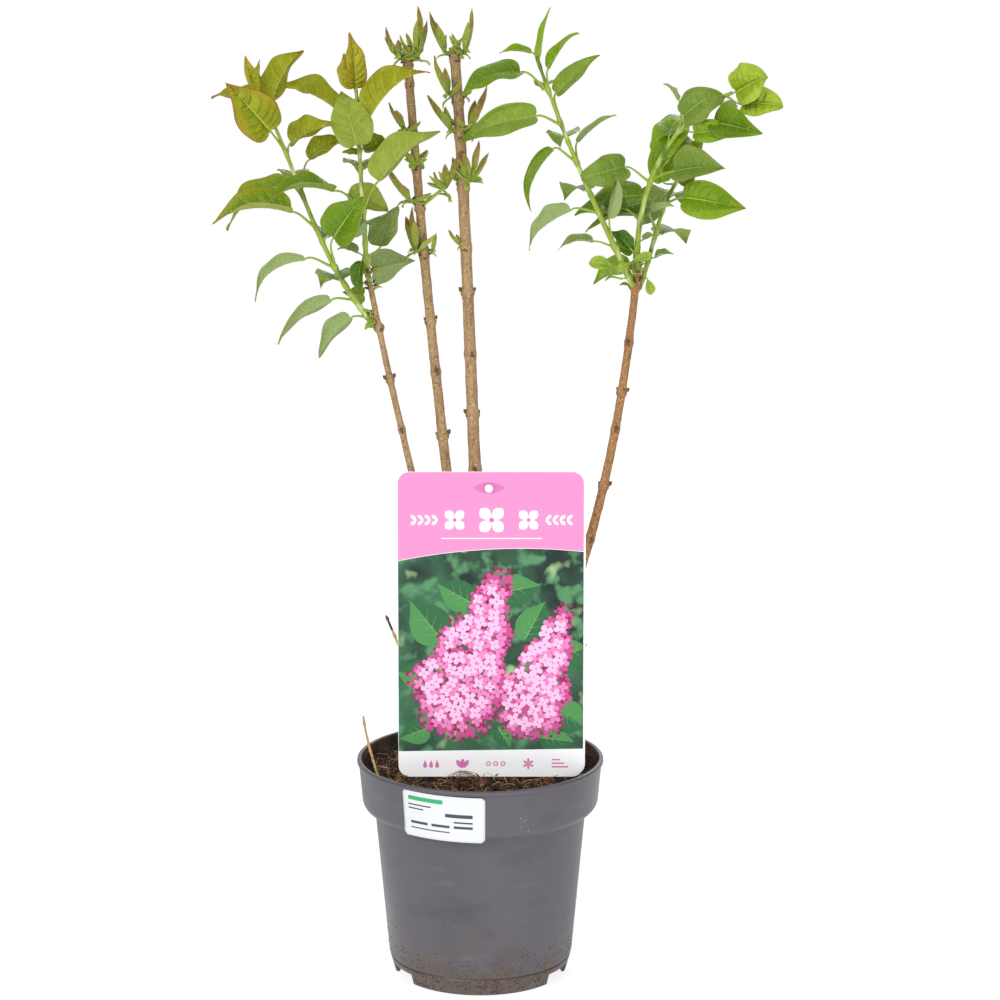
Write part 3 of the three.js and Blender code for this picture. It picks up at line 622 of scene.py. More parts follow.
BLOTCHES = blotch_group()
RELIEF = relief_group()
MATERIALS = {}
EVEN = (1, 1, 1)


class Maker:
    """A material with its Principled shader, and short ways to add nodes to it."""

    def __init__(self, name, colour, roughness, **sockets):
        MATERIALS[name] = bpy.data.materials.new(name)
        MATERIALS[name].use_nodes = True
        self.tree = MATERIALS[name].node_tree
        self.shade(Base_Color=(*colour, 1), Roughness=roughness, **sockets)

    def shade(self, **sockets):
        """Gives the shader's own inputs their values or the sockets that feed them."""
        inputs = {name.replace("_", " "): value for name, value in sockets.items()}
        fill(self.tree, self.tree.nodes["Principled BSDF"], inputs)

    def place(self, stretch=EVEN):
        """Object coordinates, stretched."""
        coordinates = add_node(self.tree, "ShaderNodeTexCoord", {}).outputs["Object"]
        mapping = add_node(self.tree, "ShaderNodeMapping", {"Vector": coordinates, "Scale": stretch})
        return mapping.outputs["Vector"]

    def blotches(self, scale, low, high, detail=3.0, stretch=EVEN):
        """A mask of soft patches."""
        inputs = {"Vector": self.place(stretch), "Scale": scale, "Low": low, "High": high, "Detail": detail}
        return add_node(self.tree, "ShaderNodeGroup", inputs, node_tree=BLOTCHES).outputs["Mask"]

    def mix(self, mask, low, high):
        """A colour that goes from low to high with a mask. Each is a colour or a socket."""
        ends = [(*value, 1) if isinstance(value, tuple) else value for value in (low, high)]
        inputs = {"Factor": mask, 6: ends[0], 7: ends[1]}
        return add_node(self.tree, "ShaderNodeMix", inputs, data_type="RGBA").outputs[2]

    def layered(self, base, *layers):
        """A colour with others laid over it in patches, each given with its patches' values."""
        for colour, *patches in layers:
            base = self.mix(self.blotches(*patches), base, linear(colour))
        return base

    def spread(self, value, **limits):
        """A value brought from one range to another."""
        inputs = {name.replace("_", " "): limit for name, limit in limits.items()}
        return add_node(self.tree, "ShaderNodeMapRange", {"Value": value, **inputs}).outputs["Result"]

    def bump(self, height, strength, distance, under=None):
        """The normal of a bump, which may lie over another."""
        inputs = {"Height": height, "Strength": strength, "Distance": distance}
        if under is not None:
            inputs["Normal"] = under
        return add_node(self.tree, "ShaderNodeBump", inputs).outputs["Normal"]

    def relief(self, scale, strength, distance, share=0.4, stretch=EVEN, under=None):
        """The normal of a bump of fine relief."""
        inputs = {"Vector": self.place(stretch), "Scale": scale, "Share": share}
        height = add_node(self.tree, "ShaderNodeGroup", inputs, node_tree=RELIEF).outputs["Height"]
        return self.bump(height, strength, distance, under)

    def veins(self, scale, strength, distance, under):
        """The normal of the small fields between a leaf's finest veins."""
        inputs = {"Scale": scale, "Vector": self.place()}
        cells = add_node(self.tree, "ShaderNodeTexVoronoi", inputs, feature="DISTANCE_TO_EDGE")
        height = self.spread(cells.outputs["Distance"], From_Max=0.22)
        return self.bump(height, strength, distance, under)

    def rising(self, low, high, mask):
        """A mask that also goes from 0 at one height to 1 at another, in metres."""
        coordinates = add_node(self.tree, "ShaderNodeTexCoord", {}).outputs["Object"]
        apart = add_node(self.tree, "ShaderNodeSeparateXYZ", {0: coordinates})
        inputs = {0: self.spread(apart.outputs["Z"], From_Min=low, From_Max=high), 1: mask}
        return add_node(self.tree, "ShaderNodeMath", inputs, operation="MULTIPLY").outputs[0]


# Leaf tones: the upper face, its outer part, its rim, its midrib, the underside and the point.
TONES = {
    "bronze": [
        (136, 147, 20), (156, 146, 34), (142, 98, 44), (184, 190, 90), (143, 147, 32), (152, 124, 44),
    ],
    "amber": [
        (160, 158, 40), (174, 156, 48), (150, 104, 48), (190, 192, 92), (158, 156, 46), (160, 128, 52),
    ],
    "olive": [
        (138, 152, 48), (150, 150, 50), (140, 118, 54), (168, 184, 86), (150, 160, 64), (146, 134, 52),
    ],
    "edged": [
        (116, 146, 38), (142, 152, 42), (154, 132, 54), (172, 190, 96), (148, 158, 50), (150, 146, 50),
    ],
    "silver": [
        (140, 157, 62), (143, 158, 64), (150, 124, 70), (172, 186, 104), (140, 156, 60), (142, 146, 60),
    ],
    "green": [
        (99, 131, 24), (112, 142, 32), (132, 156, 50), (158, 182, 90), (126, 152, 56), (110, 138, 36),
    ],
    "dark": [
        (62, 100, 14), (84, 116, 20), (122, 132, 34), (128, 158, 66), (100, 130, 40), (96, 120, 24),
    ],
    "grey": [
        (132, 152, 84), (138, 157, 90), (148, 166, 100), (158, 177, 114), (146, 165, 104), (138, 157, 92),
    ],
    "fresh": [
        (118, 153, 32), (132, 165, 42), (150, 176, 58), (172, 194, 92), (128, 160, 48), (130, 160, 38),
    ],
    "lime": [
        (152, 178, 50), (164, 188, 64), (172, 196, 76), (182, 204, 94), (154, 182, 68), (158, 178, 60),
    ],
    "rimmed": [
        (116, 142, 58), (122, 148, 62), (140, 126, 66), (150, 172, 90), (128, 150, 76), (118, 144, 58),
    ],
    "bud": [
        (152, 169, 58), (156, 166, 62), (178, 172, 92), (182, 194, 96), (150, 162, 66), (158, 128, 76),
    ],
    "bud_green": [
        (148, 174, 56), (158, 180, 68), (184, 198, 102), (184, 202, 106), (152, 172, 72), (160, 158, 74),
    ],
    "bud_red": [
        (156, 161, 60), (156, 152, 66), (164, 144, 84), (180, 184, 94), (152, 152, 68), (146, 106, 76),
    ],
    "bract": [
        (142, 172, 56), (154, 182, 72), (184, 200, 112), (180, 200, 108), (154, 180, 84), (160, 172, 78),
    ],
}
GLOSSY = ("bronze", "amber", "olive", "dark", "lime", "fresh")
QUILTED = {"bronze": 2.4, "amber": 2.6, "olive": 2.0, "lime": 1.4}  # how much more the youngest bulge
ZONES = ("top", "hollow_shade", "lit", "middle", "outer", "rim", "midrib", "vein", "tipward", "point")
UNDER_ZONES = ("under", "under_vein", "under_lit", "under_tipward")
VEIN_SHARE = 0.5  # how far a side vein's colour goes from the blade's to the midrib's
PATCHES = 0.34  # how far the outer colours wander over the blade in patches
PATCH_SIZE = 0.3  # as a share of the blade's width
LIT_BELOW, UNDER_LIT_BELOW, HOLLOW_BELOW = -0.22, -0.1, 0.2  # the patches' values that give way to these
MIDDLE_FROM, OUTER_FROM, RIM_FROM = 0.56, 0.78, 0.965  # where these zones start, from the midrib to the edge
HOLLOWS_TO, VEINS_TO = 0.8, 0.88  # how far out these reach
SHADE = (30, 62, 6)  # the painted shade that a leaf's hollows beside its veins are darkened towards
SHEEN = (0.009, 0.009, 0.013)  # the white that a leaf's own shine adds to its colour
LEAF_DEPTH = 0.94  # how much deeper its base colour is than the lit blade looks
LEAF_ROUGHNESS = {"under": 0.48, "glossy": 0.24, "plain": 0.31}


def leaf_colour(colour):
    """A leaf's colour under its shine, for the colour that it has with it."""
    return tuple(max((value - white) * LEAF_DEPTH, 0.004) for value, white in zip(linear(colour), SHEEN))


def make_leaf_materials():
    for tone, (top, outer, rim, midrib, under, point) in TONES.items():
        # The second colour is painted shade: the top darkened towards SHADE, for the hollows beside the
        # veins.
        colours = [top, blended(top, SHADE, 0.22 if tone in QUILTED else 0.1), blended(top, midrib, 0.32)]
        colours += [blended(top, outer, 0.5), outer, rim, midrib, blended(top, midrib, VEIN_SHARE)]
        colours += [blended(outer, point, 0.5), point, under, blended(under, midrib, 0.6)]
        colours += [blended(under, midrib, 0.2), blended(under, point, 0.5)]
        for zone, colour in zip(ZONES + UNDER_ZONES, colours):
            finish = "under" if zone in UNDER_ZONES else "glossy" if tone in GLOSSY else "plain"
            maker = Maker(
                f"leaf_{tone}_{zone}",
                leaf_colour(colour),
                LEAF_ROUGHNESS[finish],
                Subsurface_Weight=0.05,
                Subsurface_Scale=0.001,
                Subsurface_Radius=(1.0, 0.9, 0.3),
                Specular_IOR_Level=0.22,
            )
            puckered = maker.relief(210, 0.6, 0.0022, 0.3)
            netted = maker.veins(380, 0.4, 0.0004, puckered)
            maker.shade(Normal=maker.relief(900, 0.35, 0.0004, under=netted))


# Finishes of one colour each: the roughness, the relief's scale, strength, depth, share and stretch, the
# shine, and the colours.
PLAIN_FINISHES = [
    (0.80, (900, 0.5, 0.0005), 0.5, {
        "cut_wood": (190, 168, 134),
        "bark_scar": (98, 72, 50),
        "dead_wood": (64, 46, 34),
        "lenticel": (186, 158, 118),
    }),
    (0.90, (700, 0.6, 0.0008), 0.5, {
        "crumb_dark": (30, 20, 15),
        "crumb_brown": (66, 42, 28),
        "chip_red": (106, 62, 42),
        "fibre_tan": (150, 112, 66),
        "fibre_pale": (206, 172, 116),
        "fibre_dark": (88, 60, 36),
        "root_tan": (138, 104, 66),
        "dried_soil": (74, 58, 42),
        "paint_fleck": (214, 212, 214),
    }),
    (0.50, (120, 0.05, 0.0006, 0.2), 0.3, {
        "card_white": (252, 252, 254),
        "card_pink": (246, 142, 196),
        "card_pink_deep": (214, 116, 182),
        "floret_pale": (244, 192, 228),
        "floret_pink": (230, 134, 192),
        "floret_rose": (202, 74, 142),
        "floret_deep": (146, 36, 88),
        "floret_eye": (196, 92, 154),
        "icon_pink": (222, 120, 180),
        "leaf_print": (44, 104, 62),
        "leaf_print_lit": (76, 142, 78),
        "leaf_print_vein": (138, 184, 112),
        "sticker_white": (224, 227, 231),
        "sticker_green": (62, 170, 112),
        "sticker_grey": (74, 76, 82),
    }),
    (0.34, (500, 0.08, 0.0003, 0.3), 0.5, {"peg_plastic": (224, 224, 222)}),
]
STALK_RELIEF = (500, 0.4, 0.0004, 0.4, (1, 1, 0.3))
STALKS = {
    "stalk_green": (150, 170, 60),
    "stalk_bronze": (160, 158, 60),
    "bud_scale": (98, 56, 38),
    "bud_scale_pale": (164, 158, 76),
}
# Barks: each one's middle, dark and pale colour.
BARKS = {
    "bark": ((170, 138, 97), (116, 88, 57), (198, 172, 134)),
    "bark_red": ((166, 120, 74), (114, 76, 44), (196, 158, 114)),
    "bark_dark": ((112, 84, 58), (72, 52, 36), (146, 118, 88)),
    "dry_wood": ((196, 158, 108), (146, 106, 66), (218, 190, 150)),
}


def make_plain_materials():
    for roughness, relief, shine, colours in PLAIN_FINISHES:
        for name, colour in colours.items():
            maker = Maker(name, linear(colour), roughness, Specular_IOR_Level=shine)
            maker.shade(Normal=maker.relief(*relief))


def make_stalk_materials():
    for name, colour in STALKS.items():
        maker = Maker(name, leaf_colour(colour), 0.3, Specular_IOR_Level=0.45)
        maker.shade(Normal=maker.relief(*STALK_RELIEF))
    middle, shaded, lit = (leaf_colour(colour) for colour in ((152, 174, 56), (98, 126, 18), (206, 222, 138)))
    maker = Maker("shoot_green", middle, 0.26, Specular_IOR_Level=0.6)
    shadows = maker.blotches(75, 0.5, 0.64, 2.0, (1, 1, 0.6))
    lights_on = maker.blotches(130, 0.54, 0.68, 2.0, (1, 1, 0.35))
    colour = maker.mix(lights_on, maker.mix(shadows, middle, shaded), lit)
    maker.shade(Base_Color=colour, Normal=maker.relief(*STALK_RELIEF))


def make_bark_materials():
    for name, (middle, dark, pale) in BARKS.items():
        maker = Maker(name, linear(middle), 0.78)
        colour = maker.layered(
            linear(middle),
            (blended(middle, dark, 0.4), 70, 0.46, 0.74, 5.0, (1, 1, 0.4)),
            (blended(middle, dark, 0.7), 460, 0.5, 0.74, 4.0, (1, 1, 0.16)),
            (dark, 820, 0.55, 0.66, 3.0, (1, 1, 0.55)),
            (pale, 1150, 0.56, 0.68, 2.0, (1, 1, 0.7)),
        )
        maker.shade(Base_Color=colour, Normal=maker.relief(900, 0.7, 0.0008, stretch=(1, 1, 0.5)))


def make_pot_materials():
    maker = Maker("pot_plastic", linear((92, 90, 97)), 0.42, Specular_IOR_Level=0.5)
    clouds = maker.blotches(18, 0.35, 0.7, 4.0, (1, 1, 0.5))
    colour = maker.layered(
        maker.mix(clouds, linear((82, 80, 87)), linear((92, 90, 97))),
        ((97, 94, 100), 90, 0.6, 0.76, 7.0, (0.5, 0.5, 1.8)),
        ((77, 75, 81), 30, 0.56, 0.7, 6.0, (0.7, 0.7, 1.2)),
    )
    # Dried soil: a film low on the body, and a thick mottled coat on the foot ring.
    film = maker.rising(0.050, 0.004, maker.blotches(110, 0.44, 0.72, 8.0))
    coat = maker.rising(0.024, 0.009, maker.blotches(420, 0.36, 0.62, 6.0))
    colour = maker.mix(coat, maker.mix(film, colour, linear((100, 84, 70))), linear((84, 66, 50)))
    roughness = maker.spread(clouds, To_Min=0.36, To_Max=0.56)
    maker.shade(Base_Color=colour, Roughness=roughness, Normal=maker.relief(420, 0.12, 0.0004, 0.5))
    # The inner wall: a soil stain and painted shade together, dark brown with paler patches.
    maker = Maker("pot_inside_soil_and_shade", linear((44, 36, 34)), 0.7)
    colour = maker.layered(linear((44, 34, 28)), ((118, 88, 62), 60, 0.4, 0.65, 6.0))
    maker.shade(Base_Color=colour, Normal=maker.relief(420, 0.3, 0.0006, 0.5))


def make_compost_material():
    maker = Maker("compost", linear((36, 25, 18)), 0.95)
    lumps, crumbs = ((52, 36, 24), 120, 0.4, 0.62, 6.0), ((92, 62, 38), 520, 0.55, 0.68, 4.0)
    colour = maker.layered(linear((20, 14, 10)), lumps, crumbs)
    maker.shade(Base_Color=colour, Normal=maker.relief(260, 0.9, 0.002, 0.5))


def make_picture_material():
    """The blurred green ground of the label's picture."""
    maker = Maker("card_picture", linear((44, 84, 62)), 0.5, Specular_IOR_Level=0.3)
    colour = maker.layered(
        linear((22, 44, 38)),
        ((58, 108, 76), 34, 0.36, 0.62, 3.0),
        ((84, 140, 96), 95, 0.52, 0.66, 2.0),
        ((150, 184, 128), 60, 0.62, 0.72, 2.0),
    )
    maker.shade(Base_Color=colour, Normal=maker.relief(120, 0.05, 0.0006, 0.2))


make_leaf_materials()
make_plain_materials()
make_stalk_materials()
make_bark_materials()
make_pot_materials()
make_compost_material()
make_picture_material()

# ---------------------------------------------------------------- leaves

HEART = (0.45, 0.95, 0.24)  # a grown blade's outline: how it swells at its base, narrows and is drawn out
ROUND = (0.42, 0.52, 0.0)  # the outline of a blade whose point curls away
SPOON = (1.35, 0.95, 0.06)  # the outline of the small leaves of an opening bud
PADDLE = (1.5, 0.5, 0.0)  # the outline of the blunt leaves at its foot
LEAF_THICKNESS = 0.34
VEIN_STOPS = (0.30, 0.42, 0.54, 0.66, 0.78, 0.89)  # where the side veins end, by the count of the margin
VEIN_HALF = 0.0048


def eased(low, high, value):
    """A smooth step from 0 to 1 between two values."""
    t = np.clip((value - low) / (high - low), 0, 1)
    return t * t * (3 - 2 * t)


def blade_share(along, foot, point, drawn):
    """Half the width of a blade some way up it, as a share of its greatest, drawn out to a point."""
    along = np.clip(along, 0, 1)
    widest = foot / (foot + point)
    greatest = widest**foot * (1 - widest) ** point
    return (1 - drawn * eased(0.55, 0.93, along)) * along**foot * (1 - along) ** point / greatest


def vein_rows(between):
    """A blade's rows: their stops, how each leans to a vein's edge, its bulge and which gaps are veins."""
    stops, sides, bulges = [], [], []
    edges = [0.05, *VEIN_STOPS, 0.997]
    for k in range(len(edges) - 1):
        first, last = edges[k], edges[k + 1]
        inner = np.linspace(first, last, between + 2)[1:-1]
        stops += [first, *inner, last]
        sides += [1 if k else 0, *np.zeros(between), -1 if k < len(edges) - 2 else 0]
        bulges += [0, *np.sin(np.linspace(0, math.pi, between + 2)[1:-1]), 0]
    stops, sides, bulges = (np.array(values, float) for values in (stops, sides, bulges))
    veins = (sides[:-1] == -1) & (sides[1:] == 1)
    return stops, sides, bulges, veins


ROWS = {"fine": vein_rows(4), "plain": vein_rows(2), "small": vein_rows(1)}
COLUMNS = {
    "fine": np.array([0, 0.034, 0.13, 0.26, 0.39, 0.52, 0.65, 0.77, 0.88, 0.965, 1]),
    "plain": np.array([0, 0.04, 0.22, 0.42, 0.62, 0.82, 0.95, 1]),
    "small": np.array([0, 0.06, 0.35, 0.68, 0.92, 1]),
}

# How a blade lies: how far its lobes reach back, its fold along the midrib, the relief between its veins,
# the waves of its margin, how far its point curls down, its twist in degrees and how far its margin rolls
# under.
FORM_PARTS = ("lobe", "fold", "bulge", "wave", "curl", "twist", "roll")
FORM_ROWS = {
    "flat": (0.06, 0.30, 0.020, 0.06, 0.06, 14, 0.02),
    "folded": (0.05, 0.66, 0.018, 0.08, 0.07, 14, 0.0),
    "rolled": (0.06, 0.40, 0.016, 0.06, 0.05, 14, 0.13),
    "crinkled": (0.05, 0.50, 0.040, 0.09, 0.14, 20, 0.06),
    "cupped": (0.09, 0.26, 0.010, 0.07, 0.34, 10, 0.12),
    "creased": (0.05, 0.95, 0.020, 0.06, 0.08, 12, 0.03),
    "drooping": (0.06, 0.46, 0.020, 0.07, 0.07, 16, 0.05),
    "bud": (-0.02, 0.80, 0.020, 0.07, -0.06, 16, 0.0),
    "bract": (-0.02, 0.22, 0.012, 0.03, 0.20, 12, 0.0),
}
FORMS = {form: dict(zip(FORM_PARTS, row)) for form, row in FORM_ROWS.items()}
OUTLINES = {"bud": SPOON, "bract": PADDLE, "cupped": ROUND, "crinkled": ROUND}
POINT_FROM = {"bud": (0.56, 0.78)}  # how far up a blade its point's colours start, and are full
USUAL_POINT_FROM = (0.82, 0.91)


def blade_grid(form, tone, detail, length, width, bow, rng):
    """A blade's upper face before it is put in place, with rows that run up and out as its veins do.

    Gives each point's places along, across and up, and its share of the way up the blade; then where each
    column stands, from -1 at one edge to 1 at the other; and the phase of the blade's waves.
    """
    shape = FORMS[form]
    stops, sides, bulges, _ = ROWS[detail]
    half = COLUMNS[detail]
    t = np.concatenate([-half[:0:-1], half])[None, :]
    reach = np.abs(t)
    q = stops[:, None] + sides[:, None] * VEIN_HALF * (1 - 0.75 * reach)
    lobe = shape["lobe"] * np.sin(math.pi * np.clip(q / 0.42, 0, 1))
    margin = q**2 * (1.6 - 0.6 * q)
    foot = q**2.6
    x = foot + (margin - lobe - foot) * reach**1.5
    y = np.sign(t) * reach * blade_share(margin, *OUTLINES.get(form, HEART)) * width / 2
    s = np.clip(x, 0, 1)
    phase = rng.uniform(0, 2 * math.pi, 2)
    cycles = rng.uniform(1.3, 2.4, 2)
    right = (t > 0).astype(int)
    waves = np.sin(2 * math.pi * cycles[right] * s + phase[right])
    z = shape["fold"] * rng.uniform(0.8, 1.2) * np.abs(y) + bow * length * 4 * s * (1 - s)
    z = z + shape["bulge"] * QUILTED.get(tone, 1) * width * bulges[:, None] * np.sin(math.pi * reach**0.8)
    z = z - 0.25 * bell(reach, 0.09) * (1 - s)
    if form == "crinkled":
        z = z + roughened(np.stack([x * length, y, x * 0 + phase[0]], -1), 2.4, 0.9, 3) * (1 - 0.5 * reach)
    z = z + shape["wave"] * rng.uniform(0.5, 1.2) * width * reach**2.4 * waves
    z = z - shape["roll"] * width * eased(0.6, 1, reach) * np.sin(math.pi * s)
    z = z - shape["curl"] * rng.uniform(0.5, 1.4) * length * (np.clip(s - 0.62, 0, 1) / 0.38) ** 2
    y = y + length * rng.uniform(-0.05, 0.05) * s**2
    turn = np.radians(shape["twist"] * rng.uniform(-1, 1)) * s
    y, z = y * np.cos(turn) - z * np.sin(turn), y * np.sin(turn) + z * np.cos(turn)
    return x * length, y, z, s, t[0], phase[0]


def blade_zones(heap, form, tone, detail, width, grid, rng):
    """The material numbers of a blade's upper and lower faces."""
    x, y, z, s, t, phase = grid
    veins = ROWS[detail][3]
    reach = np.abs(t)
    middle = (reach[1:] + reach[:-1]) / 2
    along = (s[1:, 1:] + s[:-1, :-1]) / 2
    patch = np.stack([(x + y)[1:, 1:], (y - z)[1:, 1:], np.full(along.shape, 9 * phase)], -1)
    patches = roughened(patch, width * PATCH_SIZE, 1, 6)
    spread = middle[None, :] + PATCHES * patches + 0.25 * eased(0.6, 1, along)
    spread = spread + rng.uniform(-0.06, 0.06, along.shape)
    zone = {name: heap.kind(f"leaf_{tone}_{name}") for name in ZONES + UNDER_ZONES}
    upper = np.where(patches < LIT_BELOW, zone["lit"], zone["top"])
    under = np.where(patches < UNDER_LIT_BELOW, zone["under_lit"], zone["under"])
    # Painted shade: a dark strip in the gap just past each side vein, and with fine detail a dark band along
    # one side of the midrib.
    beside_vein = np.concatenate([[False], veins[:-1]])[:, None] & (middle < HOLLOWS_TO)[None, :]
    upper[beside_vein & (patches < HOLLOW_BELOW)] = zone["hollow_shade"]
    if detail == "fine":
        upper[:, len(t) // 2 + 1] = zone["hollow_shade"]
    upper[spread > MIDDLE_FROM] = zone["middle"]
    upper[spread > OUTER_FROM] = zone["outer"]
    tongue = along + 0.05 * np.sin(4 * (t[1:] + t[:-1]) / 2 + phase)[None, :]
    tipward, point = POINT_FROM.get(form, USUAL_POINT_FROM)
    upper[tongue > tipward] = zone["tipward"]
    under[tongue > tipward] = zone["under_tipward"]
    upper[tongue > point] = under[tongue > point] = zone["point"]
    upper[:, middle > RIM_FROM] = zone["rim"]
    vein = veins[:, None] & (middle < VEINS_TO)[None, :]
    upper[vein] = zone["vein"]
    under[vein] = zone["under_vein"]
    rib = middle < COLUMNS[detail][1]
    upper[:, rib] = zone["midrib"]
    under[:, rib] = zone["under_vein"]
    return upper.ravel(), under.ravel(), zone["rim"]


def blade(heap, base, axes, length, width, bow, tone, rng, detail, form):
    """One leaf blade with veins, a folded midrib, a wavy margin and a heart-shaped base."""
    grid = blade_grid(form, tone, detail, length, width, bow, rng)
    x, y, z, s, t, _ = grid
    ahead, beside, up = axes
    top = base + x[..., None] * ahead + y[..., None] * beside + z[..., None] * up
    ridge = 0.5 * bell(t, 0.08) * (1 - s)
    ridge = ridge + 0.14 * (np.abs(ROWS[detail][1])[:, None] * (1 - np.abs(t)))
    low = top - (LEAF_THICKNESS + ridge)[..., None] * up
    heap.sheet(top, low, *blade_zones(heap, form, tone, detail, width, grid, rng))


def leaf_axes(bearing, rise, roll):
    """A blade's own axes: ahead along the midrib, to the side, and up from its upper face."""
    ahead = heading(bearing, rise)
    level = heading(bearing + 90, 0)
    up = np.cross(ahead, level)
    return ahead, turned_about(level, ahead, roll), turned_about(up, ahead, roll)


def stalk(heap, root, base, out, ahead, thick, thin, kind):
    """A leaf stalk that leaves the shoot its own way and runs smoothly into the blade."""
    span = np.linalg.norm(base - root)
    steps = np.linspace(0, 1, 12)
    path = bezier([root, root + out * span * 0.45, base - ahead * span * 0.3, base + ahead * 0.8], steps)
    radii = np.interp(steps, [0, 0.12, 0.5, 1], [thick * 1.5, thick, thin, thin * 0.9])
    tube(heap, path, radii, kind, sides=8)


STALK_COLOURS = {"bronze": "stalk_bronze", "amber": "stalk_bronze", "olive": "stalk_bronze"}
FINE_FROM = 20  # the length from which a blade has all its detail
PLAIN_FROM = 12


def leafy_shoot(name, rule, number):
    """A green shoot with its leaf stalks, and its leaf blades as a piece of their own."""
    limb = Limb(rule)
    rng = np.random.default_rng(LEAF_SEED + number)
    green, leaves = Heap(), Heap()
    ways = limb.spaced(1.2)
    radii = limb.radius(ways)
    for row in rule["leaves"]:
        radii = radii + 0.35 * bell(ways - row[0], 1.8)
    skin = radii[:, None] * (1 + 0.06 * np.cos(4 * full_circle(12)))[None, :]
    tube(green, limb.at(ways), skin, "shoot_green")
    for way, length, out, climb, long, wide, bearing, rise, roll, bow, tone, form in rule["leaves"]:
        root = limb.at(min(way, limb.length * 0.99))
        leave = heading(out, climb)
        base = root + leave * length
        axes = leaf_axes(bearing, rise, roll)
        thin = 0.36 + 0.008 * long
        stalk(green, root, base, leave, axes[0], thin + 0.2, thin, STALK_COLOURS.get(tone, "stalk_green"))
        detail = "fine" if long > FINE_FROM else "plain" if long > PLAIN_FROM else "small"
        blade(leaves, base, axes, long, wide, bow, tone, rng, detail, form)
    slot = "young_leaves" if name.startswith("shoot_left") else "leaves"
    piece(name + "_stems", green, slot, name)
    piece(name + "_blades", leaves, slot, name)


# ---------------------------------------------------------------- opening buds


def bract(heap, root, out, turn, spread, length, rng):
    """A small blunt leaf at a bud's foot that stands out from the spur, never towards the stem."""
    side = unit(np.cross(out, [0.3, 0.2, 1.0]))
    sideways = turned_about(side, out, turn)
    ahead = out * math.cos(math.radians(spread)) + sideways * math.sin(math.radians(spread))
    away = unit(np.array([out[0], out[1], 0.0]))
    ahead = unit(ahead + away * max(0.3 - ahead @ away, 0) * 1.4)
    level = unit(np.cross(out, ahead))
    axes = (ahead, level, np.cross(ahead, level))
    blade(heap, root, axes, length, length * 0.44, 0.08, "bract", rng, "small", "bract")


def bud_cluster(green, leaves, limb, row, random, rng):
    """A spur with small leaves that open in pairs round a leading one, and the bracts at its foot."""
    height, bearing, rise, longest, count, fan, spur = row
    root = limb.at(limb.way_to(height))
    out = heading(bearing, min(rise, 38))
    reach = spur + 3
    tip = root + out * reach
    steps = np.linspace(0, 1, 8)
    radii = np.interp(steps, [0, 0.25, 0.8, 1], [SPUR_RADIUS * 1.6, SPUR_RADIUS, SPUR_RADIUS, 0.5])
    tube(green, root + out * reach * steps[:, None], radii, "shoot_green", sides=10)
    # Old scales at the spur's foot, then bracts up the spur.
    for k in range(4):
        around = heading(bearing + rng.uniform(-80, 80), rng.uniform(-20, 60))
        dormant_bud(green, root + out * 2.4, around, 2.8, 0.8, "bark_scar" if k else "bud_scale")
    for k in range(4):
        place = root + out * reach * rng.uniform(0.55, 0.9)
        length = min(longest * 0.42, 10) * rng.uniform(0.65, 1.15)
        bract(leaves, place, out, 90 * k + rng.uniform(-30, 30), rng.uniform(45, 95), length, rng)
    # The leading leaf and the pairs beside it, with a shorter leaf across every second one.
    start = tip - heading(bearing, rise) * 1.2
    for i in range(count):
        side = -1 if i % 2 == 0 else 1
        order = math.ceil(i / 2)
        length = longest * (1 - 0.2 * order + 0.1 * next(random)) * BUD_LEAF_SHARE
        lean = bearing + side * order * (60 + 20 * next(random))
        roll = (next(random) - 0.5) * 60
        climb = rise - order * fan * 0.4
        tone = ("bud_red", "bud", "bud_green")[min(order + int(rng.integers(0, 2)), 2)]
        axes = leaf_axes(lean, climb, roll)
        blade(leaves, start, axes, length, length * 0.17 + 1, -0.06, tone, rng, "plain", "bud")
        if i % 2 == 0:
            axes = leaf_axes(lean + rng.uniform(-24, 24), climb + rng.uniform(-4, 8), roll + 90)
            short = length * rng.uniform(0.5, 0.8)
            blade(leaves, start, axes, short, short * 0.18 + 1, -0.06, "bud_green", rng, "small", "bud")


def bud_clusters():
    for number, (place, rule) in enumerate(BUDS.items()):
        limb = Limb(STEMS[rule["stem"]])
        rng = np.random.default_rng(BUD_LEAF_SEED + number)
        green, leaves = Heap(), Heap()
        for i, row in enumerate(rule["rows"]):
            bud_cluster(green, leaves, limb, row, seeded(BUD_SEED + i), rng)
        nodes = [f"buds_{place}_{i + 1}" for i in range(len(rule["rows"]))]
        piece(f"bud_spurs_{place}", green, "buds", *nodes)
        piece(f"bud_leaves_{place}", leaves, "buds", *nodes)


# ---------------------------------------------------------------- woody stems

STEM_SIDES = 28
TWIG_SIDES = 10
STEM_STEP = 0.8  # how far apart a stem's rings are
NODE_LENGTH = 2.4  # how far up and down a node swells
LINE_HEIGHT, LINE_LENGTH = 0.06, 0.6  # the fine line round a node
SCAR_HEIGHT, SCAR_LENGTH, SCAR_SPAN = 0.55, 1.3, 0.55  # a leaf scar under it, whose span is in radians
SCAR_FROM = 0.62  # how strong a scar is where its own colour starts
STEM_LOOKS = {  # each stem's bark, and the height below which its buds haven't opened
    "stem_left": ("bark", 380),
    "stem_inner_left": ("bark", 420),
    "stem_inner_right": ("bark", 420),
    "stem_right": ("bark_red", 400),
}


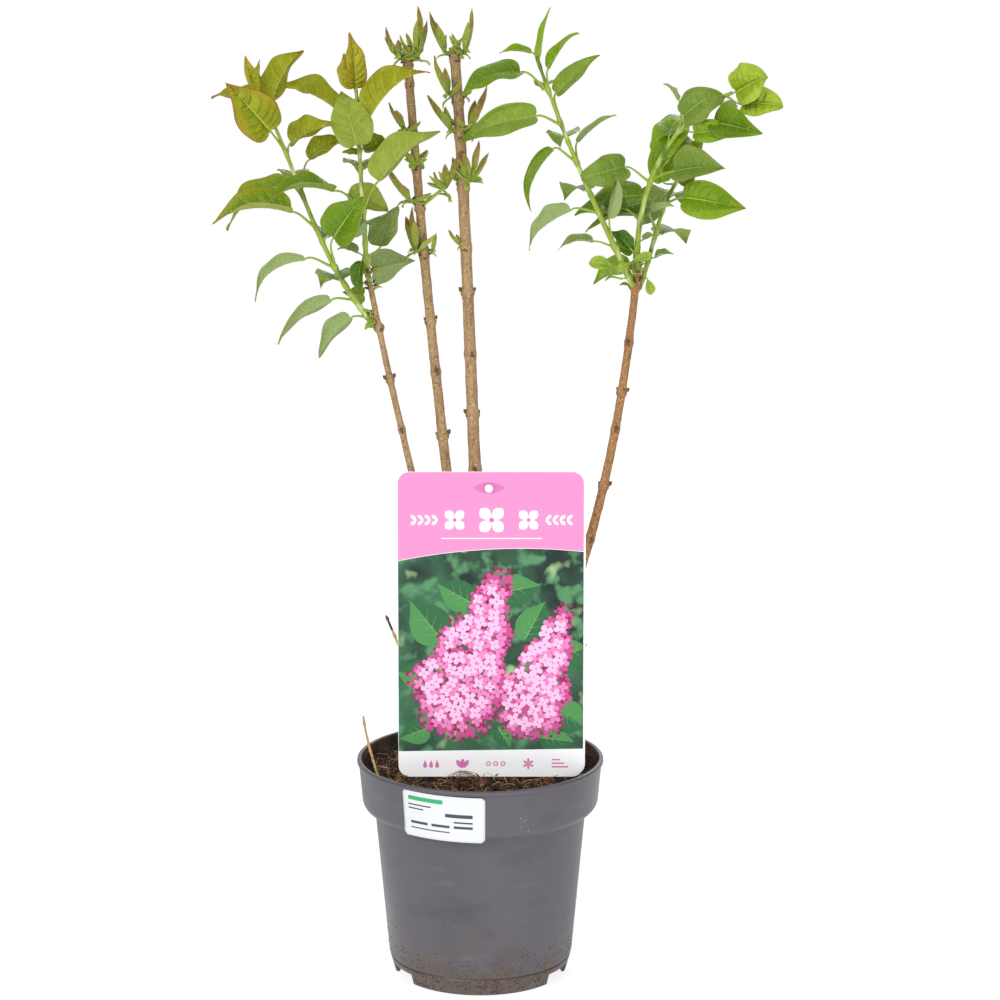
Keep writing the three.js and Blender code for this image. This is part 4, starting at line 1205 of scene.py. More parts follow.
def woody_stem(heap, limb, stem, kind, seed):
    """A woody stem with swollen nodes, paired leaf scars, fine ridges and a cut or rounded top."""
    ways = limb.spaced(STEM_STEP)
    turn = full_circle(STEM_SIDES)
    skin = np.repeat(limb.radius(ways)[:, None], STEM_SIDES, axis=1)
    scars = np.zeros(skin.shape)
    for number, height in enumerate(stem["nodes"]):
        off = ways - limb.way_to(height)
        swell = KNUCKLE_SWELL if height == stem.get("knuckle") else NODE_SWELL
        skin += swell * bell(off, NODE_LENGTH)[:, None]
        line = bell(off - LINE_LENGTH, LINE_LENGTH)[:, None] * np.ones(STEM_SIDES)
        skin += LINE_HEIGHT * line
        scars = np.maximum(scars, 0.45 * line)
        for half in (0, math.pi):
            facing = half + number * math.pi / 2 + 0.3 * math.sin(seed + number)
            apart = np.angle(np.exp(1j * (turn - facing)))
            scar = bell(apart, SCAR_SPAN)[None, :] * bell(off + SCAR_LENGTH, SCAR_LENGTH)[:, None]
            skin += SCAR_HEIGHT * scar
            scars = np.maximum(scars, scar)
    skin += roughened(skin_field(ways, turn, 2.2, 0.12), 1.0, 0.24, seed)
    field = skin_field(ways, turn, 5, 0.5)
    skin += roughened(field, 1.0, 0.12, seed + 3)
    edge = scars + roughened(field * 2, 1.0, 0.5, seed + 5)
    tube(heap, limb.at(ways), skin, kind, end_kind="cut_wood", spots={"bark_scar": edge > SCAR_FROM})


def dormant_bud(heap, root, out, length, radius, kind):
    """A small pointed bud that lies against its stem."""
    steps = np.linspace(0, 1, 9)
    radii = radius * np.sin(math.pi * np.clip(steps * 0.92 + 0.12, 0, 1)) ** 0.8 + 0.05
    ridge = 1 + 0.12 * np.cos(3 * full_circle(9))[None, :] * steps[:, None]
    tube(heap, root + out * length * steps[:, None], radii[:, None] * ridge, kind)


def dormant_buds(heap, limb, stem, seed, below):
    """Pairs of dormant buds at the nodes below a height, turned a quarter from one node to the next."""
    for number, height in enumerate(stem["nodes"]):
        if height > below:
            continue
        way = limb.way_to(height)
        centre, ahead = limb.at(way), limb.ahead(way)
        for half in (0, 180):
            facing = heading(half + number * 90 + 17 * math.sin(seed + number), 0)
            facing = unit(facing - ahead * (facing @ ahead))
            size = 1 + 0.25 * math.sin(seed * 3 + number * 2 + half)
            root = centre + facing * limb.radius(way) * 0.85
            dormant_bud(heap, root, unit(facing * 0.75 + ahead), 3.4 * size, 1.1 * size, "bark_scar")


def main_stem():
    """The cut-back foot of the bush, flared where it enters the compost."""
    heap = Heap()
    heights = np.linspace(MAIN_STEM["foot"], MAIN_STEM["top"], 70)
    flare = MAIN_STEM["flare"] * bell(heights - MAIN_STEM["flare_at"], 6)
    from_top = MAIN_STEM["top"] - heights
    rounded = np.sqrt(1 - (np.clip(4 - from_top, 0, 4) / 5) ** 2)
    turn = full_circle(48)
    skin = np.repeat(((MAIN_STEM["radius"] + flare) * rounded)[:, None], len(turn), axis=1)
    field = skin_field(heights, turn, 2.5, 0.09)
    skin *= 1 + roughened(field, 1.0, 0.16, 5) + roughened(field * 3, 1.0, 0.05, 8)
    centre = np.array([MAIN_STEM["x"], MAIN_STEM["y"], 0.0])
    points = centre + np.stack([heights * 0, heights * 0, heights], -1)
    tube(heap, points, skin, "bark_dark", end_kind="cut_wood")
    piece("main_stem_bark", heap, "bark", "main_stem")


def woody_stems():
    barks = []
    for seed, (name, stem) in enumerate(STEMS.items(), 1):
        heap, limb = Heap(), Limb(stem)
        kind, below = STEM_LOOKS[name]
        woody_stem(heap, limb, stem, kind, seed)
        dormant_buds(heap, limb, stem, seed, below)
        barks.append(piece(name + "_bark", heap, kind, name))
    return barks


def scale(heap, start, axes, length, kind):
    """An old bud scale: a short, flattened, pointed flake."""
    steps = np.linspace(0, 1, 6)
    path = start + axes[0] * (length * steps)[:, None] + axes[2] * (0.9 * steps * (1 - steps))[:, None]
    widths = 1.1 * np.sin(math.pi * np.clip(steps * 0.85 + 0.15, 0, 1)) + 0.05
    tube(heap, path, widths[:, None] * (0.35 + 0.65 * np.abs(np.sin(full_circle(8))))[None, :], kind)


# Old bud scales: their stem, height, the bearings between which they stand, and how many there are.
KNUCKLE_SCALES = [
    ("stem_left", 400, 120, 240, 8),
    ("stem_left", 405, 140, 220, 4),
    ("stem_left", 424, 0, 360, 8),
    ("stem_left", 431, 0, 360, 9),
    ("stem_right", 422, 0, 360, 12),
    ("stem_right", 429, 0, 360, 9),
]


def knuckles():
    """The old bud scales and the small leaves round the foot of this year's shoots."""
    scales, leaves = Heap(), Heap()
    rng = np.random.default_rng(SCALE_SEED)
    kinds = ("bud_scale_pale", "bud_scale", "bud_scale_pale", "bark_scar")
    for name, height, start_at, end_at, count in KNUCKLE_SCALES:
        limb = Limb(STEMS[name])
        centre = limb.at(min(limb.way_to(height), limb.length))
        for k in range(count):
            bearing = start_at + (end_at - start_at) * k / count + rng.uniform(-12, 12)
            start = centre + heading(bearing, 0) * rng.uniform(1.2, 2.4)
            start = start + np.array([0, 0, rng.uniform(-2, 3)])
            axes = leaf_axes(bearing, rng.uniform(15, 65), rng.uniform(-30, 30))
            scale(scales, start, axes, rng.uniform(2.4, 5.0), kinds[k % 4])
            if k % 3 == 0:
                lean = bearing + rng.uniform(-40, 40)
                axes = leaf_axes(lean, rng.uniform(-10, 60), rng.uniform(-60, 60))
                long = rng.uniform(5, 9)
                blade(leaves, start, axes, long, long * 0.42, 0.1, "bract", rng, "small", "bract")
    piece("knuckle_scales", scales, "bark_red")
    piece("knuckle_leaves", leaves, "young_leaves")


def lenticels(barks):
    """Small pale corky warts strewn over the woody stems."""
    wart = chunk(4, (1, 0.6, 0.5), simple=True)
    meshes = [
        grown(STREW, bark, "lenticel", (seed, 0.0048, 6e4, 0.0004, 0.0008, 0.1), Shape=wart)
        for seed, bark in enumerate(barks, LENTICEL_SEED)
    ]
    discard(wart)
    piece("stem_lenticels", joined("stem_lenticels", meshes), "bark")


def thin_twigs():
    for seed, (name, twig) in enumerate(TWIGS.items(), TWIG_SEED):
        heap, limb = Heap(), Limb(twig)
        ways = limb.spaced(STEM_STEP)
        radii = limb.radius(ways)
        for way in np.arange(18, limb.length, 17.0):
            radii = radii + 0.35 * bell(ways - way, 1.1)
        skin = np.repeat(radii[:, None], TWIG_SIDES, axis=1)
        skin += roughened(skin_field(ways, full_circle(TWIG_SIDES), 2, 0.3), 1.0, 0.12, seed)
        dead = np.repeat(ways[:, None] > limb.length - twig.get("dead", 0), TWIG_SIDES, axis=1)
        tube(heap, limb.at(ways), skin, "dry_wood", spots={"dead_wood": dead})
        if "dead" in twig:
            ahead = limb.ahead(limb.length)
            dormant_bud(heap, limb.at(limb.length) - ahead * 1.5, ahead, 4.5, 1.0, "bark_scar")
        piece(name + "_bark", heap, "dry_wood", name)


# ---------------------------------------------------------------- pot and compost


def arc(x, z, radius, start, end, steps):
    """Points of an arc from one direction to another, in degrees, in a profile's plane."""
    turns = np.radians(np.linspace(start, end, steps))
    return [(x + radius * math.cos(a), z + radius * math.sin(a)) for a in turns]


def lathe(profile, steps):
    """A bmesh turned from a closed profile of (radius, height) points about the Z axis."""
    bm = bmesh.new()
    profile = [(max(radius, 0), height) for radius, height in profile]
    for radius, height in profile:
        bm.verts.new((radius * MM, 0, height * MM))
    bm.verts.ensure_lookup_table()
    for a, b in zip(bm.verts[:-1], bm.verts[1:]):
        bm.edges.new((a, b))
    bmesh.ops.spin(
        bm,
        geom=bm.verts[:] + bm.edges[:],
        cent=(0, 0, 0),
        axis=(0, 0, 1),
        angle=2 * math.pi,
        steps=steps,
        use_merge=True,
    )
    bmesh.ops.remove_doubles(bm, verts=bm.verts[:], dist=1e-6)
    bmesh.ops.recalc_face_normals(bm, faces=bm.faces[:])
    return bm


def collar_profile(inset, steps):
    """The pot's wall from the collar's rounded foot up to the lip, set in by some millimetres."""
    head = RIM_RADIUS - LIP_REACH
    centre = head - COLLAR_TAPER - COLLAR_ROUND
    points = arc(centre, COLLAR_FOOT + COLLAR_ROUND, COLLAR_ROUND - inset, -88, -8, steps)
    return [*points, (head - inset, POT_HEIGHT - LIP_DEPTH)]


def slot_cutter(start, end):
    """The space of a drain slot through the corner of the foot ring, between two bearings."""
    loop = arc(0, 0, BODY_FOOT_RADIUS + 4, start, end, 12)
    loop += arc(0, 0, FOOT_RADIUS - 6, start, end, 12)[::-1]
    bm = bmesh.new()
    face = bm.faces.new([bm.verts.new((x * MM, y * MM, -1 * MM)) for x, y in loop])
    raised = bmesh.ops.extrude_face_region(bm, geom=[face])
    verts = [item for item in raised["geom"] if isinstance(item, bmesh.types.BMVert)]
    bmesh.ops.translate(bm, verts=verts, vec=(0, 0, (SLOT_HEIGHT + 1) * MM))
    bmesh.ops.recalc_face_normals(bm, faces=bm.faces[:])
    return new_object("slot", plain_mesh("slot", bm))


SHARP = math.radians(40)  # the pot is shaded smooth but for its edges from this angle up


def pot():
    lip = POT_HEIGHT - LIP_DEPTH
    outside = [
        (0, 0),
        (PAD_RADIUS, 0),
        (PAD_RADIUS + 2, FLOOR_UNDER),
        (FOOT_RADIUS - 2.6, FLOOR_UNDER),
        (FOOT_RADIUS - 1.4, 0),
        *arc(FOOT_RADIUS - 0.2, 1.0, 1.0, -90, 0, 5),
        (FOOT_RADIUS + 3.4, FOOT_HEIGHT - 1),
        *arc(BODY_FOOT_RADIUS - 1.6, BODY_FOOT + 0.6, 1.6, -80, -5, 5),
        (BODY_TOP_RADIUS, COLLAR_FOOT - 3),
        *arc(BODY_TOP_RADIUS + 2.0, COLLAR_FOOT - 1.7, 1.9, 180, 110, 4),
        *collar_profile(0, 9),
        *arc(LIP_RADIUS - 0.7, lip + 0.7, 0.7, -90, 0, 4),
        *arc(LIP_RADIUS - 1.3, POT_HEIGHT - 1.3, 1.3, 0, 90, 6),
    ]
    inside = [
        *arc(RIM_RADIUS - LIP_REACH - POT_WALL + 0.7, POT_HEIGHT - 0.7, 0.7, 90, 180, 4),
        *collar_profile(POT_WALL, 9)[::-1],
        (BODY_TOP_RADIUS - POT_WALL, COLLAR_FOOT - 1),
        (BODY_FOOT_RADIUS - POT_WALL, BODY_FOOT + 1.5),
        (FOOT_RADIUS - POT_WALL, FOOT_HEIGHT),
        (FOOT_RADIUS - POT_WALL, FLOOR_TOP),
        (0, FLOOR_TOP),
    ]
    bm = lathe([*outside, *inside], POT_STEPS)
    for face in bm.faces:
        face.smooth = True
    for edge in bm.edges:
        edge.smooth = len(edge.link_faces) == 2 and edge.calc_face_angle(0) < SHARP
    shell = new_object("pot_shell", plain_mesh("pot_shell", bm, MATERIALS["pot_plastic"]))
    cutters = []
    for side in (-90, 90):
        for start, end in ((SLOT_START, SLOT_END), (-SLOT_END, -SLOT_START)):
            cutters.append(slot_cutter(side + start, side + end))
    for cutter in cutters:
        cut = shell.modifiers.new("slot", "BOOLEAN")
        cut.operation = "DIFFERENCE"
        cut.solver = "EXACT"
        cut.object = cutter
    mesh = evaluated(shell)
    discard(shell, *cutters)
    # Faces that look inwards, between the floor and the lip, take the inner wall's colour of soil stain and
    # painted shade.
    mesh.materials.append(MATERIALS["pot_inside_soil_and_shade"])
    for face in mesh.polygons:
        inwards = face.center.xy.dot(face.normal.xy) < 0 or face.normal.z > 0.9
        if inwards and FLOOR_TOP * 0.9 * MM < face.center.z < (POT_HEIGHT - 0.8) * MM:
            face.material_index = 1
    piece("pot_shell_moulded", mesh, "pot_plastic", "pot")


COMPOST_SIDES = 200


def compost_height(x, y):
    """The compost's uneven top: two or three millimetres of lumps, a little higher in the middle."""
    x, y = np.asarray(x, float), np.asarray(y, float)
    share = np.hypot(x, y) / (RIM_RADIUS - 4)
    points = np.stack([x, y, x * 0], -1)
    lumps = roughened(points, 22, 1.6, 2) + roughened(points, 8, 1.3, 4) + roughened(points, 3, 0.7, 6)
    heaped = 2.2 * np.exp(-(((x - PEG["x"] - LABEL["x"]) / 13) ** 2) - ((y + 27) / 5) ** 2)
    banked = COMPOST_BANK * np.clip((share - 0.72) / 0.28, 0, 1) ** 2
    return COMPOST_EDGE + COMPOST_RISE * (1 - share) + lumps + heaped + banked


def compost():
    """The compost from the pot's floor to its crumbly top, as one closed mesh."""
    wall = POT_WALL + GAP
    turn = full_circle(COMPOST_SIDES)
    top = RIM_RADIUS - LIP_REACH - wall - 0.8
    rings = [(radius, None) for radius in np.linspace(top * 0.01, top, 64)]
    rings += [
        (top, COMPOST_EDGE - 6),
        *collar_profile(wall, 6)[4:1:-1],
        (BODY_TOP_RADIUS - wall, COLLAR_FOOT - 1),
        (BODY_FOOT_RADIUS - wall, BODY_FOOT + 1.8),
        (FOOT_RADIUS - wall, FOOT_HEIGHT),
        (FOOT_RADIUS - wall, FLOOR_TOP + GAP),
        (1, FLOOR_TOP + GAP),
    ]
    points = np.empty((len(rings), COMPOST_SIDES, 3))
    for k, (radius, height) in enumerate(rings):
        x, y = polar(radius, turn)
        points[k] = np.stack([x, y, compost_height(x, y) if height is None else x * 0 + height], -1)
    heap = Heap()
    first = heap.put(points)
    middle = heap.put([[0, 0, points[0, :, 2].mean()], [0, 0, FLOOR_TOP + GAP]])
    heap.cover(grid_faces(len(rings), COMPOST_SIDES, closed=True)[:, ::-1], "compost", first)
    ring = np.arange(COMPOST_SIDES)
    heap.fan(ring, middle, "compost", first)
    heap.fan(ring + (len(rings) - 1) * COMPOST_SIDES, middle + 1, "compost", first, flip=True)
    piece("compost_bed", heap, "compost", "compost")


# ---------------------------------------------------------------- scattered things, by Geometry Nodes

SCATTER_INPUTS = [
    ("Spacing", "Float", 0.002),
    ("Density", "Float", 1e5),
    ("Smallest", "Float", 0.5),
    ("Largest", "Float", 1.5),
    ("Tilt", "Float", 0.5),
    ("Clumping", "Float", 0.0),
    ("Seed", "Int", 1),
    ("Material", "Material", None),
]


def growing_tree(name, *own):
    """An empty geometry node tree with its own inputs and those of scattering."""
    inputs = [("Geometry", "Geometry", None), *own, *SCATTER_INPUTS]
    return node_group("GeometryNodeTree", name, inputs, ("Geometry", "Geometry"))


def strewn(tree, start, shape):
    """A shape's copies on the faces of the input, each turned and sized by chance."""
    clumps = add_node(tree, "ShaderNodeTexNoise", {"Scale": 75}).outputs["Fac"]
    limits = {"Value": clumps, "From Min": 0.42, "From Max": 0.6}
    sharper = add_node(tree, "ShaderNodeMapRange", limits).outputs[0]
    share = add_node(tree, "ShaderNodeMix", {"Factor": start["Clumping"], "A": 1, "B": sharper})
    chances = {
        "Mesh": start["Geometry"],
        "Distance Min": start["Spacing"],
        "Density Max": start["Density"],
        "Density Factor": share.outputs["Result"],
        "Seed": start["Seed"],
    }
    points = add_node(tree, "GeometryNodeDistributePointsOnFaces", chances, distribute_method="POISSON")
    tilt = {"X": start["Tilt"], "Y": start["Tilt"], "Z": 2 * math.pi}
    most = add_node(tree, "ShaderNodeCombineXYZ", tilt).outputs[0]
    least = add_node(tree, "ShaderNodeVectorMath", {0: most, "Scale": -1}, operation="SCALE").outputs[0]
    limits = {"Min": least, "Max": most, "Seed": start["Seed"]}
    turn = add_node(tree, "FunctionNodeRandomValue", limits, data_type="FLOAT_VECTOR").outputs[0]
    turns = {
        "Rotation": points.outputs["Rotation"],
        "Rotate By": add_node(tree, "FunctionNodeEulerToRotation", {0: turn}).outputs[0],
    }
    limits = {2: start["Smallest"], 3: start["Largest"], "Seed": start["Seed"]}
    placing = {
        "Points": points.outputs["Points"],
        "Instance": shape,
        "Rotation": add_node(tree, "FunctionNodeRotateRotation", turns, rotation_space="LOCAL").outputs[0],
        "Scale": add_node(tree, "FunctionNodeRandomValue", limits, data_type="FLOAT").outputs[1],
    }
    placed = add_node(tree, "GeometryNodeInstanceOnPoints", placing)
    return add_node(tree, "GeometryNodeRealizeInstances", {0: placed.outputs[0]}).outputs[0]


def painted(tree, start, end, geometry):
    """Ends a tree with its material set."""
    paint = add_node(tree, "GeometryNodeSetMaterial", {"Geometry": geometry, "Material": start["Material"]})
    tree.links.new(paint.outputs[0], end[0])
    return tree


def scatter_tree():
    """Copies of one shape strewn over a surface."""
    tree, start, end = growing_tree("strew", ("Shape", "Object", None))
    shape = add_node(tree, "GeometryNodeObjectInfo", {"Object": start["Shape"], "As Instance": True})
    return painted(tree, start, end, strewn(tree, start, shape.outputs["Geometry"]))


def fibre_tree():
    """Curled fibres strewn over a surface: short spirals, bent by noise and given a round section."""
    tree, start, end = growing_tree("curl", ("Length", "Float", 0.008), ("Thickness", "Float", 0.0003))
    tip = add_node(tree, "ShaderNodeMath", {0: start["Length"], 1: 0.25}, operation="MULTIPLY").outputs[0]
    spiral = {"Resolution": 14, "Rotations": 0.7, "Height": 0.003}
    spiral.update({"Start Radius": start["Length"], "End Radius": tip})
    fibres = strewn(tree, start, add_node(tree, "GeometryNodeCurveSpiral", spiral).outputs[0])
    wobble = add_node(tree, "ShaderNodeTexNoise", {"Scale": 140}).outputs["Color"]
    offset = {0: wobble, 1: (0.5, 0.5, 0.5)}
    offset = add_node(tree, "ShaderNodeVectorMath", offset, operation="SUBTRACT").outputs[0]
    offset = add_node(tree, "ShaderNodeVectorMath", {0: offset, "Scale": 0.008}, operation="SCALE").outputs[0]
    bent = add_node(tree, "GeometryNodeSetPosition", {"Geometry": fibres, "Offset": offset}).outputs[0]
    section = {"Resolution": 5, "Radius": start["Thickness"]}
    section = add_node(tree, "GeometryNodeCurvePrimitiveCircle", section).outputs["Curve"]
    skin = {"Curve": bent, "Profile Curve": section, "Fill Caps": True}
    return painted(tree, start, end, add_node(tree, "GeometryNodeCurveToMesh", skin).outputs[0])


STREW = scatter_tree()
CURL = fibre_tree()


def grown(tree, surface, material, chances, **own):
    """The plain mesh that a tree grows on a surface, with its inputs set by their identifiers.

    The chances are the seed, spacing, density, smallest and largest size, and tilt.
    """
    modifier = surface.modifiers.new("grown", "NODES")
    modifier.node_group = tree
    names = {item.name: item.identifier for item in tree.interface.items_tree if item.in_out == "INPUT"}
    values = dict(zip(("Seed", "Spacing", "Density", "Smallest", "Largest", "Tilt"), chances))
    for name, value in {**values, "Material": MATERIALS[material], **own}.items():
        modifier[names[name]] = value
    mesh = evaluated(surface)
    surface.modifiers.remove(modifier)
    return mesh


def grown_once(tree, surface, material, chances, **own):
    """What a tree grows on a surface that is only there for it."""
    mesh = grown(tree, surface, material, chances, **own)
    discard(surface)
    return mesh


def chunk(seed, stretch, simple=False):
    """A lump of a few faces, dented by noise and stretched."""
    bm = bmesh.new()
    if simple:
        bmesh.ops.create_icosphere(bm, subdivisions=1, radius=0.5)
    else:
        bmesh.ops.create_cube(bm, size=1)
        bmesh.ops.subdivide_edges(bm, edges=bm.edges[:], cuts=1, use_grid_fill=True)
        for vertex in bm.verts:
            vertex.co = vertex.co.normalized() * 0.5
    for vertex in bm.verts:
        dent = 1 + 0.5 * noise.noise(vertex.co * 2.2 + Vector((seed, 0, 0)))
        vertex.co = Vector([c * dent * s for c, s in zip(vertex.co, stretch)])
    return new_object("chunk", plain_mesh("chunk", bm))


def joined(name, meshes):
    """One mesh from several, with their materials kept."""
    bm = bmesh.new()
    materials = []
    for mesh in meshes:
        first = len(bm.faces)
        bm.from_mesh(mesh)
        bm.faces.ensure_lookup_table()
        for face in bm.faces[first:]:
            material = mesh.materials[face.material_index]
            if material not in materials:
                materials.append(material)
            face.material_index = materials.index(material)
    return plain_mesh(name, bm, *materials)


def surface(radii, turn, heights, closed):
    """A surface round the pot's axis, to grow things on."""
    heap = Heap()
    points = np.stack([*polar(radii[:, None], turn), heights], -1)
    first = heap.put(points)
    heap.cover(grid_faces(len(radii), len(turn), closed), "compost", first)
    return new_object("surface", mesh_of("surface", heap))


def compost_top(reach):
    """The compost's top alone, out to some millimetres from its middle."""
    turn = full_circle(72)
    radii = np.linspace(4, reach, 26)
    return surface(radii, turn, compost_height(*polar(radii[:, None], turn)), closed=True)


# What lies on the compost: piece, shape, material, how far out it reaches; and its seed, spacing, density,
# smallest and largest size in metres, and tilt.
LITTER = [
    ("compost_crumbs", 0, "crumb_dark", 69.5, 3, 0.0016, 3e5, 0.0012, 0.0036, 1.5),
    ("compost_crumbs", 0, "crumb_brown", 69.5, 8, 0.0030, 9e4, 0.0010, 0.0036, 1.5),
    ("compost_chips", 1, "chip_red", 66, 5, 0.0085, 2e4, 0.0030, 0.0075, 0.9),
    ("compost_chips", 2, "crumb_brown", 65, 6, 0.0060, 2e4, 0.0030, 0.0090, 1.1),
    ("compost_chips", 2, "fibre_tan", 65, 7, 0.0120, 1e4, 0.0020, 0.0060, 1.2),
]
FIBRE_REACH = 62.5
# Curled fibres: material, length, thickness; seed, spacing, density, smallest and largest size, and tilt.
FIBRES = [
    ("fibre_tan", 0.0066, 0.00020, 2, 0.0036, 7e4, 0.5, 1.3, 1.0),
    ("fibre_pale", 0.0060, 0.00016, 4, 0.0056, 4e4, 0.5, 1.3, 1.0),
    ("fibre_dark", 0.0056, 0.00028, 9, 0.0046, 5e4, 0.5, 1.4, 1.0),
]
# Soil that has dried on the pot: height from and to, the bearings that it spans; and its seed, spacing,
# density, smallest and largest size in metres, and tilt.
POT_SOIL = [
    (1.5, FOOT_HEIGHT - 1, (-138, -42), 1, 0.0006, 4.5e5, 0.0004, 0.0014, 0.3),
    (1.5, FOOT_HEIGHT - 1, (42, 138), 1, 0.0006, 4.5e5, 0.0004, 0.0014, 0.3),
    (13.5, 26, (-180, 180), 2, 0.0006, 2.4e5, 0.0003, 0.0011, 0.3),
    (26, 52, (-180, 180), 3, 0.0006, 7e4, 0.0003, 0.0010, 0.3),
    (52, 98, (-180, 180), 4, 0.0006, 8e3, 0.0003, 0.0008, 0.3),
]


def pot_radius(height):
    """The pot's outer radius below its collar."""
    if height < FOOT_HEIGHT:
        return float(np.interp(height, [0.6, FOOT_HEIGHT - 1], [FOOT_RADIUS + 0.8, FOOT_RADIUS + 3.4]))
    return float(np.interp(height, [BODY_FOOT, COLLAR_FOOT], [BODY_FOOT_RADIUS, BODY_TOP_RADIUS]))


def soil_on_pot():
    """Specks of dried soil, thick on the foot ring and sparse above, and a few flecks of pale paint."""
    speck = chunk(9, (1, 0.9, 0.6), simple=True)
    meshes = []
    for low, high, span, *chances in POT_SOIL:
        turn = np.radians(np.linspace(*span, 97))
        heights = np.linspace(low, high, 4)
        radii = np.array([pot_radius(height) for height in heights])
        band = surface(radii, turn, heights[:, None] + 0 * turn, closed=False)
        meshes.append(grown_once(STREW, band, "dried_soil", chances, Shape=speck, Clumping=0.9))
    discard(speck)
    piece("pot_soil", joined("pot_soil", meshes), "pot_plastic")
    flecks = Heap()
    rng = np.random.default_rng(FLECK_SEED)
    for _ in range(9):
        bearing, height = rng.uniform(-71, -66), rng.uniform(108, 121)
        out = heading(bearing, 0)
        place = out * collar_radius(height) + np.array([0, 0, height])
        size = rng.uniform(0.15, 0.35)
        tube(flecks, [place - out * 0.2, place + out * 0.04], [size, size * 0.7], "paint_fleck", sides=7)
    piece("pot_flecks", flecks, "pot_plastic")


def compost_litter():
    """Crumbs, chips of bark and curled fibres on the compost."""
    shapes = [chunk(1, (1, 0.9, 0.7)), chunk(7, (1.3, 0.7, 0.32)), chunk(12, (1.6, 0.5, 0.2))]
    meshes = {"compost_crumbs": [], "compost_chips": [], "compost_fibres": []}
    for name, shape, material, reach, *chances in LITTER:
        meshes[name].append(grown_once(STREW, compost_top(reach), material, chances, Shape=shapes[shape]))
    for material, length, thickness, *chances in FIBRES:
        own = {"Length": length, "Thickness": thickness}
        mesh = grown_once(CURL, compost_top(FIBRE_REACH), material, chances, **own)
        meshes["compost_fibres"].append(mesh)
    for name, parts in meshes.items():
        piece(name, joined(name, parts), "compost")
    discard(*shapes)


def label_roots():
    """Fine roots that loop out of the compost in front of the label's foot."""
    heap = Heap()
    rng = np.random.default_rng(ROOT_SEED)
    for _ in range(8):
        left = rng.uniform(-27, -10)
        right = left + rng.uniform(9, 22)
        high = rng.uniform(131, 138)
        near = rng.uniform(-29.5, -27)
        path = [
            (left, near - 1, compost_height(left, near) - 0.5),
            (left + rng.uniform(-5, 5), near - 0.3, high + 2),
            (right + rng.uniform(-8, 4), near - 0.5, high),
            (right, near - 1.2, compost_height(right, near) - 0.5),
        ]
        points = bezier(path, np.linspace(0, 1, 40))
        wander = roughened(points + left, 7.0, 1.6, 3)
        points[:, 0] += wander
        points[:, 2] += wander * 0.6 * np.sin(np.linspace(0, math.pi, 40))
        tube(heap, points, np.full(40, rng.uniform(0.12, 0.2)), "root_tan", sides=6)
    piece("label_roots", heap, "compost")


# ---------------------------------------------------------------- label

LEAN = math.radians(LABEL["lean"])


def on_label(points):
    """Points in the label's own frame of right, depth and height, put where the label stands."""
    points = np.asarray(points, float).reshape(-1, 3)
    back = points[:, 1] * math.cos(LEAN) + points[:, 2] * math.sin(LEAN)
    up = -points[:, 1] * math.sin(LEAN) + points[:, 2] * math.cos(LEAN)
    return np.stack([points[:, 0] + LABEL["x"], back + LABEL["y"], up + LABEL["foot"]], -1)


def at_depth(loop, depth):
    """Points of an outline of (right, height), all at one depth of the label."""
    loop = np.asarray(loop, float)
    return on_label(np.stack([loop[:, 0], np.full(len(loop), depth), loop[:, 1]], -1))


def slab(heap, loop, front, back, kind):
    """A flat piece of an outline of (right, height) points, from one depth to another."""
    first = heap.put(at_depth(loop, front))
    heap.put(at_depth(loop, back))
    ring = np.arange(len(loop))
    heap.cover([ring], kind, first)
    heap.cover([ring[::-1] + len(loop)], kind, first)
    heap.wall(ring, len(loop), kind, first, flip=True)


CARD_FACE = -LABEL["thick"] / 2
# The card is two sheets that don't quite line up: how far each stops short of the card's edges, how thick
# the front one is, and how far behind the card's face the back one starts.
FRONT_SHEET = {"right": 0.9, "thick": 0.26}
BACK_SHEET = {"left": 0.6, "foot": 0.8, "top": 0.4, "front": 0.32}
PRINT_MARGIN = 0.25
PRINT_SKIN = 0.03  # how thick a layer of print is
LEAF_SKIN = 0.02


def stamp(heap, loop, kind, under=0, skin=PRINT_SKIN):
    """A layer of print on the card's face, over some millimetres of others."""
    slab(heap, loop, CARD_FACE - under - skin, CARD_FACE - under, kind)


def rounded_rectangle(left, right, foot, top, corner, steps=8):
    """A rectangle's outline with round corners, anticlockwise as seen from the front."""
    loop = []
    for x, z, start in (
        (right - corner, foot + corner, -90),
        (right - corner, top - corner, 0),
        (left + corner, top - corner, 90),
        (left + corner, foot + corner, 180),
    ):
        loop += arc(x, z, corner, start, start + 90, steps)
    return loop


def header_edge(x):
    """The height of the header's curved lower edge at a place across the card."""
    left, middle, right = HEADER_FOOT
    t = (x + LABEL["width"] / 2) / LABEL["width"]
    return left * (1 - t) ** 2 + (2 * middle - (left + right) / 2) * 2 * t * (1 - t) + right * t**2


def footer_edge(x):
    t = (x + LABEL["width"] / 2) / LABEL["width"]
    return FOOTER_TOP[0] * (1 - t) + FOOTER_TOP[1] * t


